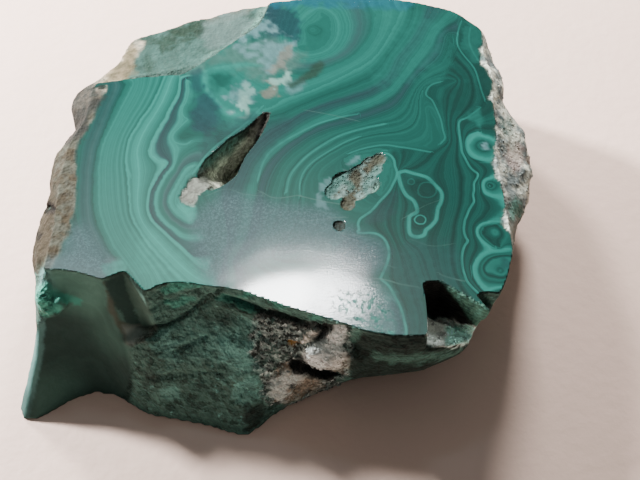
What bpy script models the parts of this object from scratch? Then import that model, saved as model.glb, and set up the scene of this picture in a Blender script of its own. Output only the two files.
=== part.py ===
"""A malachite slab with one sawn and polished face, lying on its flat back.

The stone is one piece. Its side is a loft: every station of the rim has a point on the
polished face, a point on the back, and how far the side stands out between them. Cutters
then take out the corner groove, the notch, the open fissure, the vugs, the crack under the
rim and the chipped back corner. Sizes are in metres, +Z is up.
"""
import math

import bmesh
import bpy
from mathutils import Matrix, Vector, noise

MM = 0.001

# Driving sizes.
THICKNESS = 20.0 * MM
SHOULDER_HEIGHT = 16.0 * MM
BELLY_HEIGHT = 9.0 * MM
COLUMN_SPACING = 1.25 * MM
ROW_SPACING = 1.1 * MM
OUTLINE_ROUNDING_PASSES = 1
OUTLINE_ROUNDING_SHARE = 0.35
CUTTER_OVERSHOOT = 3.0 * MM
WELD_DISTANCE = 0.01 * MM

# Roughness of the broken side.
COARSE_BUMP_SIZE = 5.5 * MM
COARSE_BUMP_HEIGHT = 1.1
COARSE_BUMP_OCTAVES = 3
LUMP_SIZE = 2.6 * MM
LUMP_HEIGHT = 1.3
LUMP_MIDDLE = 0.45
SMOOTH_BAND_AT_RIM = 1.2 * MM
SMOOTH_BAND_AT_BACK = 1.0 * MM
BACK_ROUGHNESS_SHARE = 0.35
BALL_UNEVENNESS = 0.25
BALL_BUMP_SIZE = 1.7 * MM
BALL_SUBDIVISIONS = 2

# Round the rim, in mm: point on the polished face, point on the back, how far the side stands
# out past the straight line between them at the shoulder and at the belly, and its roughness.
FRONT = [
    ((-35.3, -4.2), (-42.4, -15.8), -0.5, -0.9, 0.15),
    ((-34.9, -4.3), (-41.2, -17.2), -0.3, -0.9, 0.10),
    ((-34.3, -4.3), (-39.4, -17.3), -0.2, -0.9, 0.05),
    ((-33.0, -4.3), (-37.0, -15.6), -0.3, -1.0, 0.03),
    ((-31.5, -4.5), (-34.4, -13.7), -0.3, -1.0, 0.03),
    ((-30.0, -4.9), (-31.6, -12.7), -0.3, -0.8, 0.03),
    ((-28.6, -5.4), (-28.9, -13.0), -0.3, -0.4, 0.03),
    ((-27.3, -5.9), (-26.6, -14.6), -0.3, 0.2, 0.05),
    ((-24.5, -6.8), (-24.2, -16.0), -0.2, 0.6, 0.15),
    ((-21.6, -7.7), (-22.4, -16.5), -0.6, 0.8, 0.20),
    ((-20.1, -6.5), (-20.4, -16.8), -0.8, 1.0, 0.25),
    ((-17.0, -6.1), (-17.6, -17.3), -0.8, 1.0, 0.25),
    ((-14.4, -6.8), (-14.8, -18.0), -1.0, 0.8, 0.25),
    ((-12.3, -6.9), (-12.2, -19.0), -1.1, 0.7, 0.25),
    ((-9.4, -7.5), (-9.6, -19.3), -1.0, 0.8, 0.30),
    ((-6.2, -8.9), (-6.8, -16.6), -0.6, 1.2, 0.45),
    ((-2.5, -10.3), (-3.0, -14.0), -0.3, 1.6, 0.70),
    ((1.2, -11.4), (1.0, -12.4), -0.1, 2.0, 0.70),
    ((3.9, -12.5), (4.2, -11.0), 0.4, 2.4, 0.45),
    ((6.7, -13.3), (7.4, -9.6), 1.4, 2.6, 0.30),
    ((9.7, -13.6), (10.8, -8.6), 1.8, 2.8, 0.25),
    ((13.0, -13.5), (14.2, -7.8), 1.8, 2.8, 0.25),
    ((18.6, -13.2), (17.4, -6.6), 0.9, 1.8, 0.20),
]
RIGHT = [
    ((20.9, -10.3), (19.2, -4.6), 0.3, 0.8, 0.15),
    ((22.2, -8.4), (20.4, -2.6), 0.3, 0.8, 0.15),
    ((23.7, -5.6), (21.6, -0.6), 0.3, 1.0, 0.20),
    ((24.9, -1.8), (22.6, 2.2), 0.6, 2.0, 0.30),
    ((24.4, 4.2), (24.0, 6.2), 2.6, 3.4, 0.60),
    ((24.2, 8.7), (25.2, 10.4), 4.2, 5.0, 0.75),
    ((23.9, 13.3), (26.2, 15.0), 5.2, 5.6, 0.80),
    ((24.7, 19.3), (26.6, 20.0), 4.4, 6.2, 0.75),
    ((24.6, 24.3), (26.2, 25.0), 3.6, 5.4, 0.70),
    ((25.1, 28.4), (25.4, 29.0), 2.4, 3.6, 0.60),
    ((24.2, 32.6), (24.4, 33.0), 2.6, 3.4, 0.60),
    ((24.6, 37.6), (23.4, 37.0), 2.0, 2.2, 0.50),
]
BACK = [
    ((20.6, 41.6), (19.0, 40.6), 0.8, 1.6, 0.45),
    ((15.5, 43.4), (14.0, 42.0), 0.8, 1.4, 0.45),
    ((9.4, 44.7), (8.0, 42.6), 0.8, 1.4, 0.45),
    ((3.1, 45.2), (2.0, 43.0), 0.8, 1.4, 0.45),
    ((-5.8, 43.8), (-6.0, 41.6), 0.8, 1.4, 0.45),
    ((-12.4, 43.3), (-12.4, 41.0), 0.6, 1.4, 0.45),
    ((-18.7, 41.8), (-18.0, 39.6), 0.6, 1.4, 0.45),
    ((-24.6, 38.4), (-24.0, 36.4), 0.8, 1.4, 0.45),
    ((-28.6, 37.6), (-28.4, 34.6), 0.2, 0.8, 0.35),
]
LEFT = [
    ((-30.6, 30.6), (-31.6, 30.2), 0.9, 2.0, 0.45),
    ((-32.6, 26.0), (-33.6, 26.0), 4.6, 3.6, 0.35),
    ((-33.0, 20.5), (-34.8, 20.0), 2.0, 3.0, 0.50),
    ((-34.6, 15.5), (-36.6, 15.0), 2.4, 3.8, 0.60),
    ((-35.0, 9.1), (-37.2, 9.4), 2.5, 4.0, 0.65),
    ((-34.6, 2.0), (-37.6, 3.0), 3.2, 4.2, 0.65),
    ((-34.7, -1.6), (-39.0, -4.4), 2.3, 1.9, 0.50),
]
STATIONS = FRONT + RIGHT + BACK + LEFT

# Cutters given from above, in mm: each corner's place and the height of the cut's floor there.
NOTCH_LEDGE = [
    (13.0, -6.4, 15.8), (15.1, -6.1, 15.8), (21.2, -10.4, 15.4), (25.0, -13.0, 15.0),
    (22.0, -19.0, 15.6), (12.9, -19.0, 16.4), (13.3, -10.2, 16.2),
]
NOTCH_PIT = [
    (12.8, -6.2, 10.0), (15.1, -6.1, 10.0), (20.6, -9.9, 10.5), (19.6, -11.4, 11.5), (13.9, -9.2, 10.5),
]
RIM_BITE = [
    (19.4, -7.9, 18.2), (21.0, -7.6, 17.6), (25.0, -8.4, 16.6), (23.4, -11.2, 16.6), (20.9, -10.0, 18.4),
]
BACK_CHIP = [
    (-42.0, 25.0, 18.4), (-33.0, 26.6, 19.7), (-27.8, 27.5, 19.8), (-19.9, 28.3, 19.8), (-16.9, 31.0, 19.7),
    (-14.8, 33.4, 19.6), (-9.2, 38.4, 19.7), (-6.0, 50.0, 18.9), (-20.0, 50.0, 17.2), (-42.0, 46.0, 16.4),
]
FISSURE = [
    (-7.3, 22.2, 18.0), (-6.7, 21.4, 18.0), (-7.6, 18.9, 14.5), (-8.8, 16.2, 12.5), (-10.3, 13.6, 12.0),
    (-11.4, 10.2, 12.0), (-12.9, 8.7, 13.0), (-14.9, 7.5, 15.5), (-16.1, 8.4, 16.5), (-16.8, 10.4, 15.5),
    (-15.9, 12.8, 13.5), (-14.4, 14.5, 12.5), (-12.7, 16.6, 12.5), (-10.5, 18.3, 14.0), (-9.0, 20.2, 16.0),
]
FISSURE_TAPER = 0.45

# The corner groove: its inner edge runs down and forward, its two walls leave that edge.
GROOVE_EDGE_TOP = Vector((-24.8, -4.5, 20.0)) * MM
GROOVE_EDGE_FOOT = Vector((-22.8, -8.2, 12.0)) * MM
GROOVE_LEFT_WALL = Vector((-7.5, -4.2, -1.6)) * MM
GROOVE_RIGHT_WALL = Vector((9.6, -9.6, 5.0)) * MM
GROOVE_OVERSHOOT = 0.3

# Round hollows, in mm: place and radius.
VUGS = [
    ((1.9, 7.7, 20.5), 1.5), ((3.3, 9.2, 20.4), 1.9), ((4.6, 7.6, 20.5), 1.8), ((5.5, 10.3, 20.3), 2.0),
    ((7.1, 11.8, 20.4), 1.6), ((8.2, 13.1, 20.3), 1.1), ((3.8, 5.6, 20.3), 1.1), ((6.8, 8.8, 20.5), 1.5),
    ((2.5, 2.3, 20.1), 0.95),
]
FRONT_HOLLOWS = [
    ((-3.4, -13.9, 9.8), 1.2), ((-1.5, -14.4, 9.2), 1.8), ((0.6, -14.4, 8.4), 1.9), ((2.6, -14.0, 7.8), 1.4),
]
SIDE_PITS = [
    ((-37.4, 6.4, 17.4), 0.9), ((-38.8, 1.6, 14.4), 0.9), ((30.6, 20.4, 14.2), 1.1), ((29.9, 10.2, 12.0), 1.0),
]

# Lumps that stand on the side, in mm: place and radius.
LUMPS = [
    ((1.4, -11.6, 12.4), 2.7), ((3.6, -12.4, 13.4), 2.0), ((-0.6, -12.2, 13.6), 1.5),
    ((-35.5, -6.2, 16.0), 1.2), ((-34.8, -7.2, 14.7), 1.2), ((-33.6, -6.8, 15.5), 1.0),
]

# The crack under the rim, in mm, and its half width.
CRACK = [
    (-21.8, -10.0, 13.2), (-20.6, -9.4, 13.8), (-18.4, -8.7, 14.6), (-16.0, -7.9, 16.2), (-13.8, -7.4, 17.8),
    (-10.8, -7.9, 18.0),
    (-8.0, -8.8, 17.6), (-4.3, -10.3, 17.2), (-1.2, -11.4, 17.0), (3.6, -12.9, 17.0),
]
CRACK_RADIUS = 0.75 * MM

MALACHITE_GREEN = (0.035, 0.22, 0.14, 1.0)
MALACHITE_ROUGHNESS = 0.35


def clear_scene():
    """Remove what the startup scene holds."""
    for obj in list(bpy.data.objects):
        bpy.data.objects.remove(obj)


def make_collection(name):
    """A new collection in the scene."""
    collection = bpy.data.collections.new(name)
    bpy.context.scene.collection.children.link(collection)
    return collection


def malachite():
    """The stone's own colour and gloss."""
    material = bpy.data.materials.new("malachite")
    material.use_nodes = True
    shader = material.node_tree.nodes["Principled BSDF"]
    shader.inputs["Base Color"].default_value = MALACHITE_GREEN
    shader.inputs["Roughness"].default_value = MALACHITE_ROUGHNESS
    shader.inputs["Metallic"].default_value = 0.0
    return material


def mixed(a, b, share):
    """The value or vector at this share of the way from a to b."""
    return a + (b - a) * share


def smooth_step(value):
    """0 below 0, 1 above 1, and an even curve between."""
    value = min(1.0, max(0.0, value))
    return value * value * (3 - 2 * value)


def rim_columns():
    """The stations resampled at COLUMN_SPACING: (rim point, back point, shoulder, belly, roughness)."""
    columns = []
    for here, after in zip(STATIONS, STATIONS[1:] + STATIONS[:1]):
        start = [Vector(here[0]) * MM, Vector(here[1]) * MM, here[2] * MM, here[3] * MM, here[4] * MM]
        end = [Vector(after[0]) * MM, Vector(after[1]) * MM, after[2] * MM, after[3] * MM, after[4] * MM]
        steps = max(1, round((end[0] - start[0]).length / COLUMN_SPACING))
        for step in range(steps):
            columns.append([mixed(a, b, step / steps) for a, b in zip(start, end)])
    for _ in range(OUTLINE_ROUNDING_PASSES):
        columns = [
            [mixed(here[k], (before[k] + after[k]) / 2, OUTLINE_ROUNDING_SHARE) for k in range(len(here))]
            for before, here, after in zip(columns[-1:] + columns[:-1], columns, columns[1:] + columns[:1])
        ]
    return columns


def outward_directions(columns):
    """The level direction out of the stone at each column, square to the rim."""
    directions = []
    count = len(columns)
    for i in range(count):
        along = columns[(i + 2) % count][0] - columns[i - 2][0]
        directions.append(Vector((along.y, -along.x)).normalized())
    return directions


def bulge(height, shoulder, belly):
    """How far the side stands out at a height, past the straight line from rim to back."""
    if height >= SHOULDER_HEIGHT:
        share = (THICKNESS - height) / (THICKNESS - SHOULDER_HEIGHT)
        return shoulder * math.sin(share * math.pi / 2)
    if height >= BELLY_HEIGHT:
        share = (SHOULDER_HEIGHT - height) / (SHOULDER_HEIGHT - BELLY_HEIGHT)
        return mixed(shoulder, belly, smooth_step(share))
    return belly * math.sin(height / BELLY_HEIGHT * math.pi / 2)


def bump(place, roughness):
    """The relief of the broken side: coarse bumps and rounded lumps."""
    coarse = noise.fractal(place / COARSE_BUMP_SIZE, 0.8, 2.1, COARSE_BUMP_OCTAVES)
    nearest = noise.voronoi(place / LUMP_SIZE)[0][0]
    return roughness * (COARSE_BUMP_HEIGHT * coarse + LUMP_HEIGHT * (LUMP_MIDDLE - nearest))


def side_point(column, outward, height):
    """A point of the side: on the line from rim to back, moved out by the bulge and the relief."""
    rim, back, shoulder, belly, roughness = column
    share = 1 - height / THICKNESS
    level = mixed(rim, back, share) + outward * bulge(height, shoulder, belly)
    place = Vector((level.x, level.y, height))
    fade = smooth_step((THICKNESS - height) / SMOOTH_BAND_AT_RIM)
    fade *= mixed(BACK_ROUGHNESS_SHARE, 1.0, smooth_step(height / SMOOTH_BAND_AT_BACK))
    moved = bump(place, roughness) * fade
    return place + Vector((outward.x, outward.y, 0)) * moved


def stone_block():
    """The uncut stone: rings of points from the rim to the back, closed by two flat faces."""
    columns = rim_columns()
    directions = outward_directions(columns)
    rows = round(THICKNESS / ROW_SPACING)
    mesh = bpy.data.meshes.new("malachite_slab")
    bm = bmesh.new()
    rings = []
    for row in range(rows + 1):
        height = THICKNESS * (1 - row / rows)
        rings.append([
            bm.verts.new(side_point(column, outward, height))
            for column, outward in zip(columns, directions)
        ])
    for upper, lower in zip(rings, rings[1:]):
        for i in range(len(upper)):
            bm.faces.new((upper[i - 1], lower[i - 1], lower[i], upper[i]))
    bm.faces.new(rings[0])
    bm.faces.new(list(reversed(rings[-1])))
    bmesh.ops.recalc_face_normals(bm, faces=bm.faces)
    bm.to_mesh(mesh)
    bm.free()
    return bpy.data.objects.new("malachite_slab", mesh)


def as_helper(obj, collection, centre):
    """Put a cutter or lump in its collection, as wire that isn't rendered, on the stone's centre."""
    collection.objects.link(obj)
    obj.parent = centre
    obj.hide_render = True
    obj.display_type = "WIRE"
    return obj


def cutter_from_above(name, corners, taper=1.0):
    """A prism over the corners given in mm, with its own floor height under each corner.

    taper draws the floor's corners towards their middle, so the walls lean in.
    """
    middle = sum((Vector(corner[:2]) for corner in corners), Vector((0, 0))) / len(corners)
    mesh = bpy.data.meshes.new(name)
    bm = bmesh.new()
    roof = [bm.verts.new((x * MM, y * MM, THICKNESS + CUTTER_OVERSHOOT)) for x, y, _ in corners]
    # The walls stay upright from the roof to the polished face, and lean in below it.
    lip = [bm.verts.new((x * MM, y * MM, THICKNESS)) for x, y, _ in corners]
    floor = []
    for x, y, depth in corners:
        drawn = mixed(middle, Vector((x, y)), taper)
        floor.append(bm.verts.new(Vector((drawn.x, drawn.y, depth)) * MM))
    for upper, lower in ((roof, lip), (lip, floor)):
        for i in range(len(corners)):
            bm.faces.new((upper[i - 1], upper[i], lower[i], lower[i - 1]))
    ends = [bm.faces.new(roof), bm.faces.new(floor)]
    bmesh.ops.triangulate(bm, faces=ends)
    bmesh.ops.recalc_face_normals(bm, faces=bm.faces)
    bm.to_mesh(mesh)
    bm.free()
    return bpy.data.objects.new(name, mesh)


def groove_cutter():
    """A slanted block with one long edge on the groove's inner edge and two faces on its walls."""
    run = GROOVE_EDGE_FOOT - GROOVE_EDGE_TOP
    start = GROOVE_EDGE_TOP - run * GROOVE_OVERSHOOT
    length = run * (1 + GROOVE_OVERSHOOT)
    mesh = bpy.data.meshes.new("groove_cutter")
    bm = bmesh.new()
    bmesh.ops.create_cube(bm, size=1.0, matrix=Matrix.Translation((0.5, 0.5, 0.5)))
    shear = Matrix((GROOVE_LEFT_WALL, GROOVE_RIGHT_WALL, length)).transposed().to_4x4()
    bmesh.ops.transform(bm, matrix=Matrix.Translation(start) @ shear, verts=bm.verts)
    bmesh.ops.recalc_face_normals(bm, faces=bm.faces)
    bm.to_mesh(mesh)
    bm.free()
    return bpy.data.objects.new("groove_cutter", mesh)


def knobbly_ball(name, place, radius):
    """A ball with an uneven skin, for a hollow or a lump; place in mm."""
    mesh = bpy.data.meshes.new(name)
    bm = bmesh.new()
    centre = Vector(place) * MM
    bmesh.ops.create_icosphere(bm, subdivisions=BALL_SUBDIVISIONS, radius=radius * MM)
    for vert in bm.verts:
        vert.co *= 1 + BALL_UNEVENNESS * noise.noise((vert.co + centre) / BALL_BUMP_SIZE)
        vert.co += centre
    bm.to_mesh(mesh)
    bm.free()
    return bpy.data.objects.new(name, mesh)


def crack_cutter():
    """A tube along the crack, made a mesh with its ends closed so that it can cut."""
    data = bpy.data.curves.new("crack_line", "CURVE")
    data.dimensions = "3D"
    data.bevel_depth = CRACK_RADIUS
    data.bevel_resolution = 1
    data.use_fill_caps = True
    spline = data.splines.new("POLY")
    spline.points.add(len(CRACK) - 1)
    for point, place in zip(spline.points, CRACK):
        point.co = (*(Vector(place) * MM), 1.0)
    line = bpy.data.objects.new("crack_line", data)
    bpy.context.scene.collection.objects.link(line)
    graph = bpy.context.evaluated_depsgraph_get()
    mesh = bpy.data.meshes.new_from_object(line.evaluated_get(graph))
    bm = bmesh.new()
    bm.from_mesh(mesh)
    bmesh.ops.remove_doubles(bm, verts=bm.verts, dist=WELD_DISTANCE)
    bmesh.ops.recalc_face_normals(bm, faces=bm.faces)
    bm.to_mesh(mesh)
    bm.free()
    bpy.data.objects.remove(line)
    return bpy.data.objects.new("crack_cutter", mesh)


def combine(stone, other, operation):
    """Add a Boolean of this kind to the stone."""
    modifier = stone.modifiers.new(f"{operation.lower()}_{other.name}", "BOOLEAN")
    modifier.operation = operation
    modifier.solver = "EXACT"
    modifier.object = other


def build():
    """Make the slab, its lumps and its cutters, with the middle of its box at the origin."""
    clear_scene()
    parts = make_collection("malachite_slab")
    helpers = make_collection("cutters")

    stone = stone_block()
    xs = [vert.co.x for vert in stone.data.vertices]
    ys = [vert.co.y for vert in stone.data.vertices]
    centre = bpy.data.objects.new("slab_centre", None)
    centre.location = (-(min(xs) + max(xs)) / 2, -(min(ys) + max(ys)) / 2, 0)
    parts.objects.link(centre)
    parts.objects.link(stone)
    stone.parent = centre
    stone.data.materials.append(malachite())

    for i, (place, radius) in enumerate(LUMPS):
        lump = knobbly_ball(f"lump_{i}", place, radius)
        combine(stone, as_helper(lump, helpers, centre), "UNION")

    cutters = [
        groove_cutter(),
        cutter_from_above("notch_ledge_cutter", NOTCH_LEDGE),
        cutter_from_above("notch_pit_cutter", NOTCH_PIT),
        cutter_from_above("rim_bite_cutter", RIM_BITE),
        cutter_from_above("back_chip_cutter", BACK_CHIP),
        cutter_from_above("fissure_cutter", FISSURE, FISSURE_TAPER),
        crack_cutter(),
    ]
    hollows = VUGS + FRONT_HOLLOWS + SIDE_PITS
    cutters += [knobbly_ball(f"hollow_{i}", place, radius) for i, (place, radius) in enumerate(hollows)]
    for cutter in cutters:
        combine(stone, as_helper(cutter, helpers, centre), "DIFFERENCE")


build()
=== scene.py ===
"""Polished malachite slab: the look of a broken slab of banded malachite with one polished face."""

import math
from itertools import combinations

import bmesh
import bpy
import numpy as np
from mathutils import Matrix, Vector


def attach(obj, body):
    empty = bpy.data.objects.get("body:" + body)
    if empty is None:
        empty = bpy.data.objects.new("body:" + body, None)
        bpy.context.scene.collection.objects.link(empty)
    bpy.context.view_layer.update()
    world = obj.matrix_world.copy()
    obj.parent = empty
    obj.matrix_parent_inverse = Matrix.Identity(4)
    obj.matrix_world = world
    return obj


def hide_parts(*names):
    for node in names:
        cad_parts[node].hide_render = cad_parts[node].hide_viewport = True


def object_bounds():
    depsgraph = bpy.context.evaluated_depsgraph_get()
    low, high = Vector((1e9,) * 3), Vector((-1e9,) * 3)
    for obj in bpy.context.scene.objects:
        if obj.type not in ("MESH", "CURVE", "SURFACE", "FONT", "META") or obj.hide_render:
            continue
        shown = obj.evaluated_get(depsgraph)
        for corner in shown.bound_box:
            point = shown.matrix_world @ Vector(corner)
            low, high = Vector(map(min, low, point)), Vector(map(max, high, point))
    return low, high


bl_info = {
    "name": "Polished malachite slab",
    "version": (1, 0, 0),
    "blender": (4, 5, 0),
    "location": "3D View > Sidebar > Slab",
    "description": "Dresses a broken, polished slab of banded malachite and sets up its small studio",
    "category": "Add Mesh",
}

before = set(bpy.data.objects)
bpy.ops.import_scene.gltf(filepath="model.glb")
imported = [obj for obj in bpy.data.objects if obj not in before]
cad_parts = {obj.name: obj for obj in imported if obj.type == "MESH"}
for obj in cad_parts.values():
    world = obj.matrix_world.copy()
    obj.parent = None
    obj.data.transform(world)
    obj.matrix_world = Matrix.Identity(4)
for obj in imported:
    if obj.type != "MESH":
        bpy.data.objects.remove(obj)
CAD_BOX = [list(corner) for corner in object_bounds()]

# Names shared by the pieces
NODE = "malachite_slab"
BODY = "root"

# One millimetre, and the height of the polished face, in metres
MM = 0.001
FACE_HEIGHT = 0.020

# The photograph's frame in pixels, and the camera that it was taken with
PHOTO_WIDTH = 640
PHOTO_HEIGHT = 480
LENS = 0.050
SENSOR_WIDTH = 0.036
CAMERA_DISTANCE = 0.115
CAMERA_ELEVATION = math.radians(58)
AIM = np.array([4.76 * MM, -13.35 * MM, FACE_HEIGHT])
FOCAL_PIXELS = LENS / SENSOR_WIDTH * PHOTO_WIDTH
FORWARD = np.array([0.0, math.cos(CAMERA_ELEVATION), -math.sin(CAMERA_ELEVATION)])
UPWARD = np.array([0.0, math.sin(CAMERA_ELEVATION), math.cos(CAMERA_ELEVATION)])
RIGHTWARD = np.array([1.0, 0.0, 0.0])
CAMERA_PLACE = AIM - FORWARD * CAMERA_DISTANCE
CLIP_START = 0.005

# The size of a photo pixel across the view at the aim, in metres
PIXEL_SIZE = CAMERA_DISTANCE / FOCAL_PIXELS

# The lamps: name, turn from straight behind the stone, negative to the left, and elevation, both in
# degrees, and side in metres
LAMPS = (("left", -58.5, 34, 0.030), ("near_left", -30, 34, 0.045), ("back", 9, 34, 0.065))
LAMP_DISTANCE = 0.32
LAMP_COLOUR = (1.0, 0.96, 0.92)

# The sky, and the bright part of it that shows in the polish
SKY_COLOUR = (1.0, 0.93, 0.86, 1.0)
GLOW_TURN = math.radians(-27)
GLOW_ELEVATION = math.radians(70)
GLOW_REACH = math.radians(25)

# The window that shows in the polished face: its mirrored left, right, top and bottom in pixels
WINDOW_BOX = (240, 361, 275, 318)
WINDOW_DISTANCE = 0.30
WINDOW_COLOUR = (0.97, 0.99, 1.0)

# Traced lines that are both a growth line and a thin bright line
LEFT_STEP = (180, 77, 180, 85, 179, 93, 176, 100, 172, 106, 169, 112, 166, 119, 162, 125, 158, 131,
    155, 137, 152, 143, 150, 149, 150, 154, 153, 158, 158, 161, 163, 162, 167, 163, 160, 172, 156, 178,
    153, 184, 150, 190, 148, 197, 147, 205, 148, 212, 151, 219, 156, 225, 162, 230, 168, 236, 175, 242,
    182, 248, 188, 254, 194, 260, 200, 265, 206, 270)
LEFT_BEND = (172, 168, 166, 175, 162, 182, 158, 190, 156, 198, 156, 206, 158, 213, 162, 219, 168, 225,
    175, 230, 182, 236)
LEFT_HOOK = (187, 80, 189, 88, 188, 95, 186, 102, 183, 107, 182, 112, 184, 117, 188, 119, 184, 123,
    180, 127, 176, 131, 173, 135, 173, 139, 175, 142, 180, 144, 186, 144, 190, 142)
RIGHT_BORDER = (385, 153, 390, 155, 394, 160, 395, 166, 397, 172, 396, 178, 393, 184, 390, 190, 385, 196,
    380, 201, 375, 207, 370, 212, 364, 216, 360, 219, 358, 224, 359, 229, 358, 233, 370, 233, 377, 234,
    383, 238, 387, 244, 389, 252, 388, 260, 385, 268, 382, 275, 381, 279, 386, 283, 391, 289, 395, 297,
    399, 304, 402, 312, 404, 320, 406, 328, 406, 336)
RIGHT_WAVES = (479, 109, 468, 117, 461, 120, 459, 123, 459, 130, 460, 137, 461, 145, 462, 152, 465, 158,
    467, 162, 470, 167, 474, 171, 478, 174, 477, 178, 474, 183, 474, 190, 473, 195, 474, 201, 472, 205,
    469, 210, 467, 215, 465, 220, 464, 226, 464, 232, 466, 238, 468, 241, 465, 245, 463, 250, 462, 256,
    462, 262, 463, 269, 465, 276, 467, 281, 471, 286, 476, 291, 482, 297, 487, 303, 489, 309)
RIGHT_TOP = (461, 22, 458, 32, 457, 42, 460, 50, 466, 58, 472, 65, 476, 72, 479, 82, 482, 92, 485, 100)

# Growth lines of the polished face, traced as x, y pixels of the photograph, each with its
# level: the number of millimetres of growth, roughly, since the system's first line
LEFT_GROWTH = (
    (0.0, (104, 84, 101, 95, 97, 103, 93, 112, 88, 124, 84, 132, 80, 140, 77, 150, 76, 162, 75, 175,
        75, 190, 74, 205, 75, 215, 78, 227, 82, 240, 88, 252, 94, 262, 103, 272)),
    (1.1, (112, 84, 108, 95, 104, 105, 100, 115, 95, 127, 91, 137, 88, 148, 86, 160, 84, 175, 83, 190,
        83, 205, 84, 220, 88, 232, 93, 243, 100, 254, 108, 264)),
    (2.2, (124, 84, 119, 95, 114, 105, 109, 117, 104, 130, 99, 143, 95, 155, 93, 170, 92, 185, 92, 200,
        93, 212, 96, 225, 102, 238, 107, 250, 116, 259)),
    (2.9, (132, 82, 127, 93, 121, 104, 115, 116, 110, 126, 105, 136, 101, 146, 99, 157, 97, 170, 97, 185,
        97, 200, 98, 212, 102, 225, 108, 240, 113, 250, 121, 259, 130, 272, 140, 285)),
    (7.1, (157, 95, 152, 105, 147, 112, 142, 118, 138, 125, 134, 131, 130, 138, 128, 145, 126, 155,
        126, 162, 127, 170, 128, 176, 129, 190, 130, 205, 131, 213, 134, 221, 139, 230, 145, 239, 152, 248,
        159, 256, 166, 264, 173, 272, 181, 280, 191, 288)),
    (9.4, LEFT_STEP),
    (10.0, (166, 170, 162, 176, 158, 183, 154, 190, 152, 200, 152, 208, 154, 216, 158, 222, 164, 227,
        170, 232, 178, 239, 186, 246, 194, 253)),
    (10.6, LEFT_BEND),
    (11.1, (176, 170, 170, 177, 166, 184, 162, 192, 161, 200, 161, 207, 164, 214, 169, 220, 176, 226)),
    (12.8, (187, 168, 181, 176, 176, 186, 171, 194, 169, 200, 171, 207, 176, 213, 184, 219, 190, 222)),
    (13.8, (196, 168, 190, 174, 184, 180, 180, 187, 177, 194, 176, 200, 178, 205, 183, 210, 190, 214)),
    (10.8, LEFT_HOOK),
)
MIDDLE_GROWTH = (
    (-6.0, (312, 30)),
    (-4.6, (296, 46, 306, 50, 318, 49, 328, 40, 331, 28, 328, 18, 320, 12)),
    (-3.4, (300, 60, 316, 58, 332, 52, 342, 42, 346, 30, 343, 18, 338, 8)),
    (-2.6, (318, 62, 334, 58, 347, 50, 355, 38, 358, 26, 356, 12)),
    (-1.6, (300, 76, 322, 70, 342, 62, 356, 54, 366, 42, 372, 30, 376, 14)),
    (0.0, (230, 128, 256, 117, 263, 110, 275, 105, 290, 98, 305, 93, 320, 87, 335, 80, 350, 72, 363, 66,
        373, 58, 381, 49, 388, 38, 396, 22, 402, 10)),
    (2.0, (263, 120, 284, 117, 304, 108, 324, 99, 345, 92, 362, 86, 376, 79, 385, 68, 392, 56, 402, 44,
        412, 28, 418, 14)),
    (3.6, (222, 256, 228, 242, 229, 226, 226, 210, 232, 192, 240, 176, 250, 156, 265, 140, 284, 128,
        305, 114, 337, 103, 352, 99, 366, 95, 380, 88, 389, 81, 396, 71, 400, 60, 408, 50, 418, 38,
        426, 24)),
    (5.2, (228, 262, 238, 246, 244, 229, 248, 213, 251, 195, 254, 178, 261, 163, 275, 148, 297, 134,
        317, 122, 337, 113, 352, 107, 368, 102, 382, 95, 394, 87, 403, 76, 412, 65, 420, 54, 428, 42,
        434, 28)),
    (6.4, (234, 262, 246, 247, 253, 230, 256, 215, 259, 200, 262, 185, 269, 167, 284, 150, 300, 138,
        320, 128, 345, 121, 370, 113, 388, 106, 399, 97, 406, 87, 414, 75, 424, 64, 434, 54, 441, 38)),
    (8.0, (240, 262, 254, 247, 265, 230, 269, 212, 271, 198, 275, 182, 281, 168, 292, 155, 306, 144,
        325, 134, 350, 126, 378, 118, 394, 112, 403, 104, 409, 94, 417, 82, 430, 70, 442, 62, 448, 48,
        450, 34)),
    (9.5, (250, 260, 268, 240, 280, 221, 284, 205, 286, 192, 289, 178, 296, 167, 308, 155, 324, 144,
        341, 135, 364, 128, 384, 123, 399, 119, 408, 111, 412, 101, 416, 91, 425, 81, 440, 75, 452, 70)),
    (10.5, (260, 258, 276, 242, 288, 229, 295, 217, 296, 205, 297, 192, 300, 180, 305, 170, 315, 160,
        329, 151, 345, 142, 364, 135, 384, 131, 402, 128, 412, 121, 416, 111, 417, 100, 421, 89, 430, 81,
        444, 77)),
    (12.2, (278, 256, 296, 238, 304, 222, 307, 208, 307, 195, 309, 182, 317, 168, 330, 158, 347, 149,
        365, 141, 390, 138, 408, 136, 419, 130, 423, 120, 422, 108, 422, 97, 426, 87)),
    (13.5, (322, 176, 330, 168, 338, 162, 351, 152, 368, 147, 384, 145, 395, 148, 410, 149, 426, 152,
        436, 148, 437, 138, 432, 124, 428, 108)),
    (14.6, (344, 160, 356, 154, 370, 151, 383, 151, 390, 156, 392, 166, 389, 180, 381, 194)),
    (1.2, (200, 196, 206, 205, 212, 214, 215, 226, 216, 240, 216, 256, 214, 274)),
    (2.3, (212, 196, 219, 206, 224, 216, 226, 230, 226, 244, 222, 262)),
)
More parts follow.
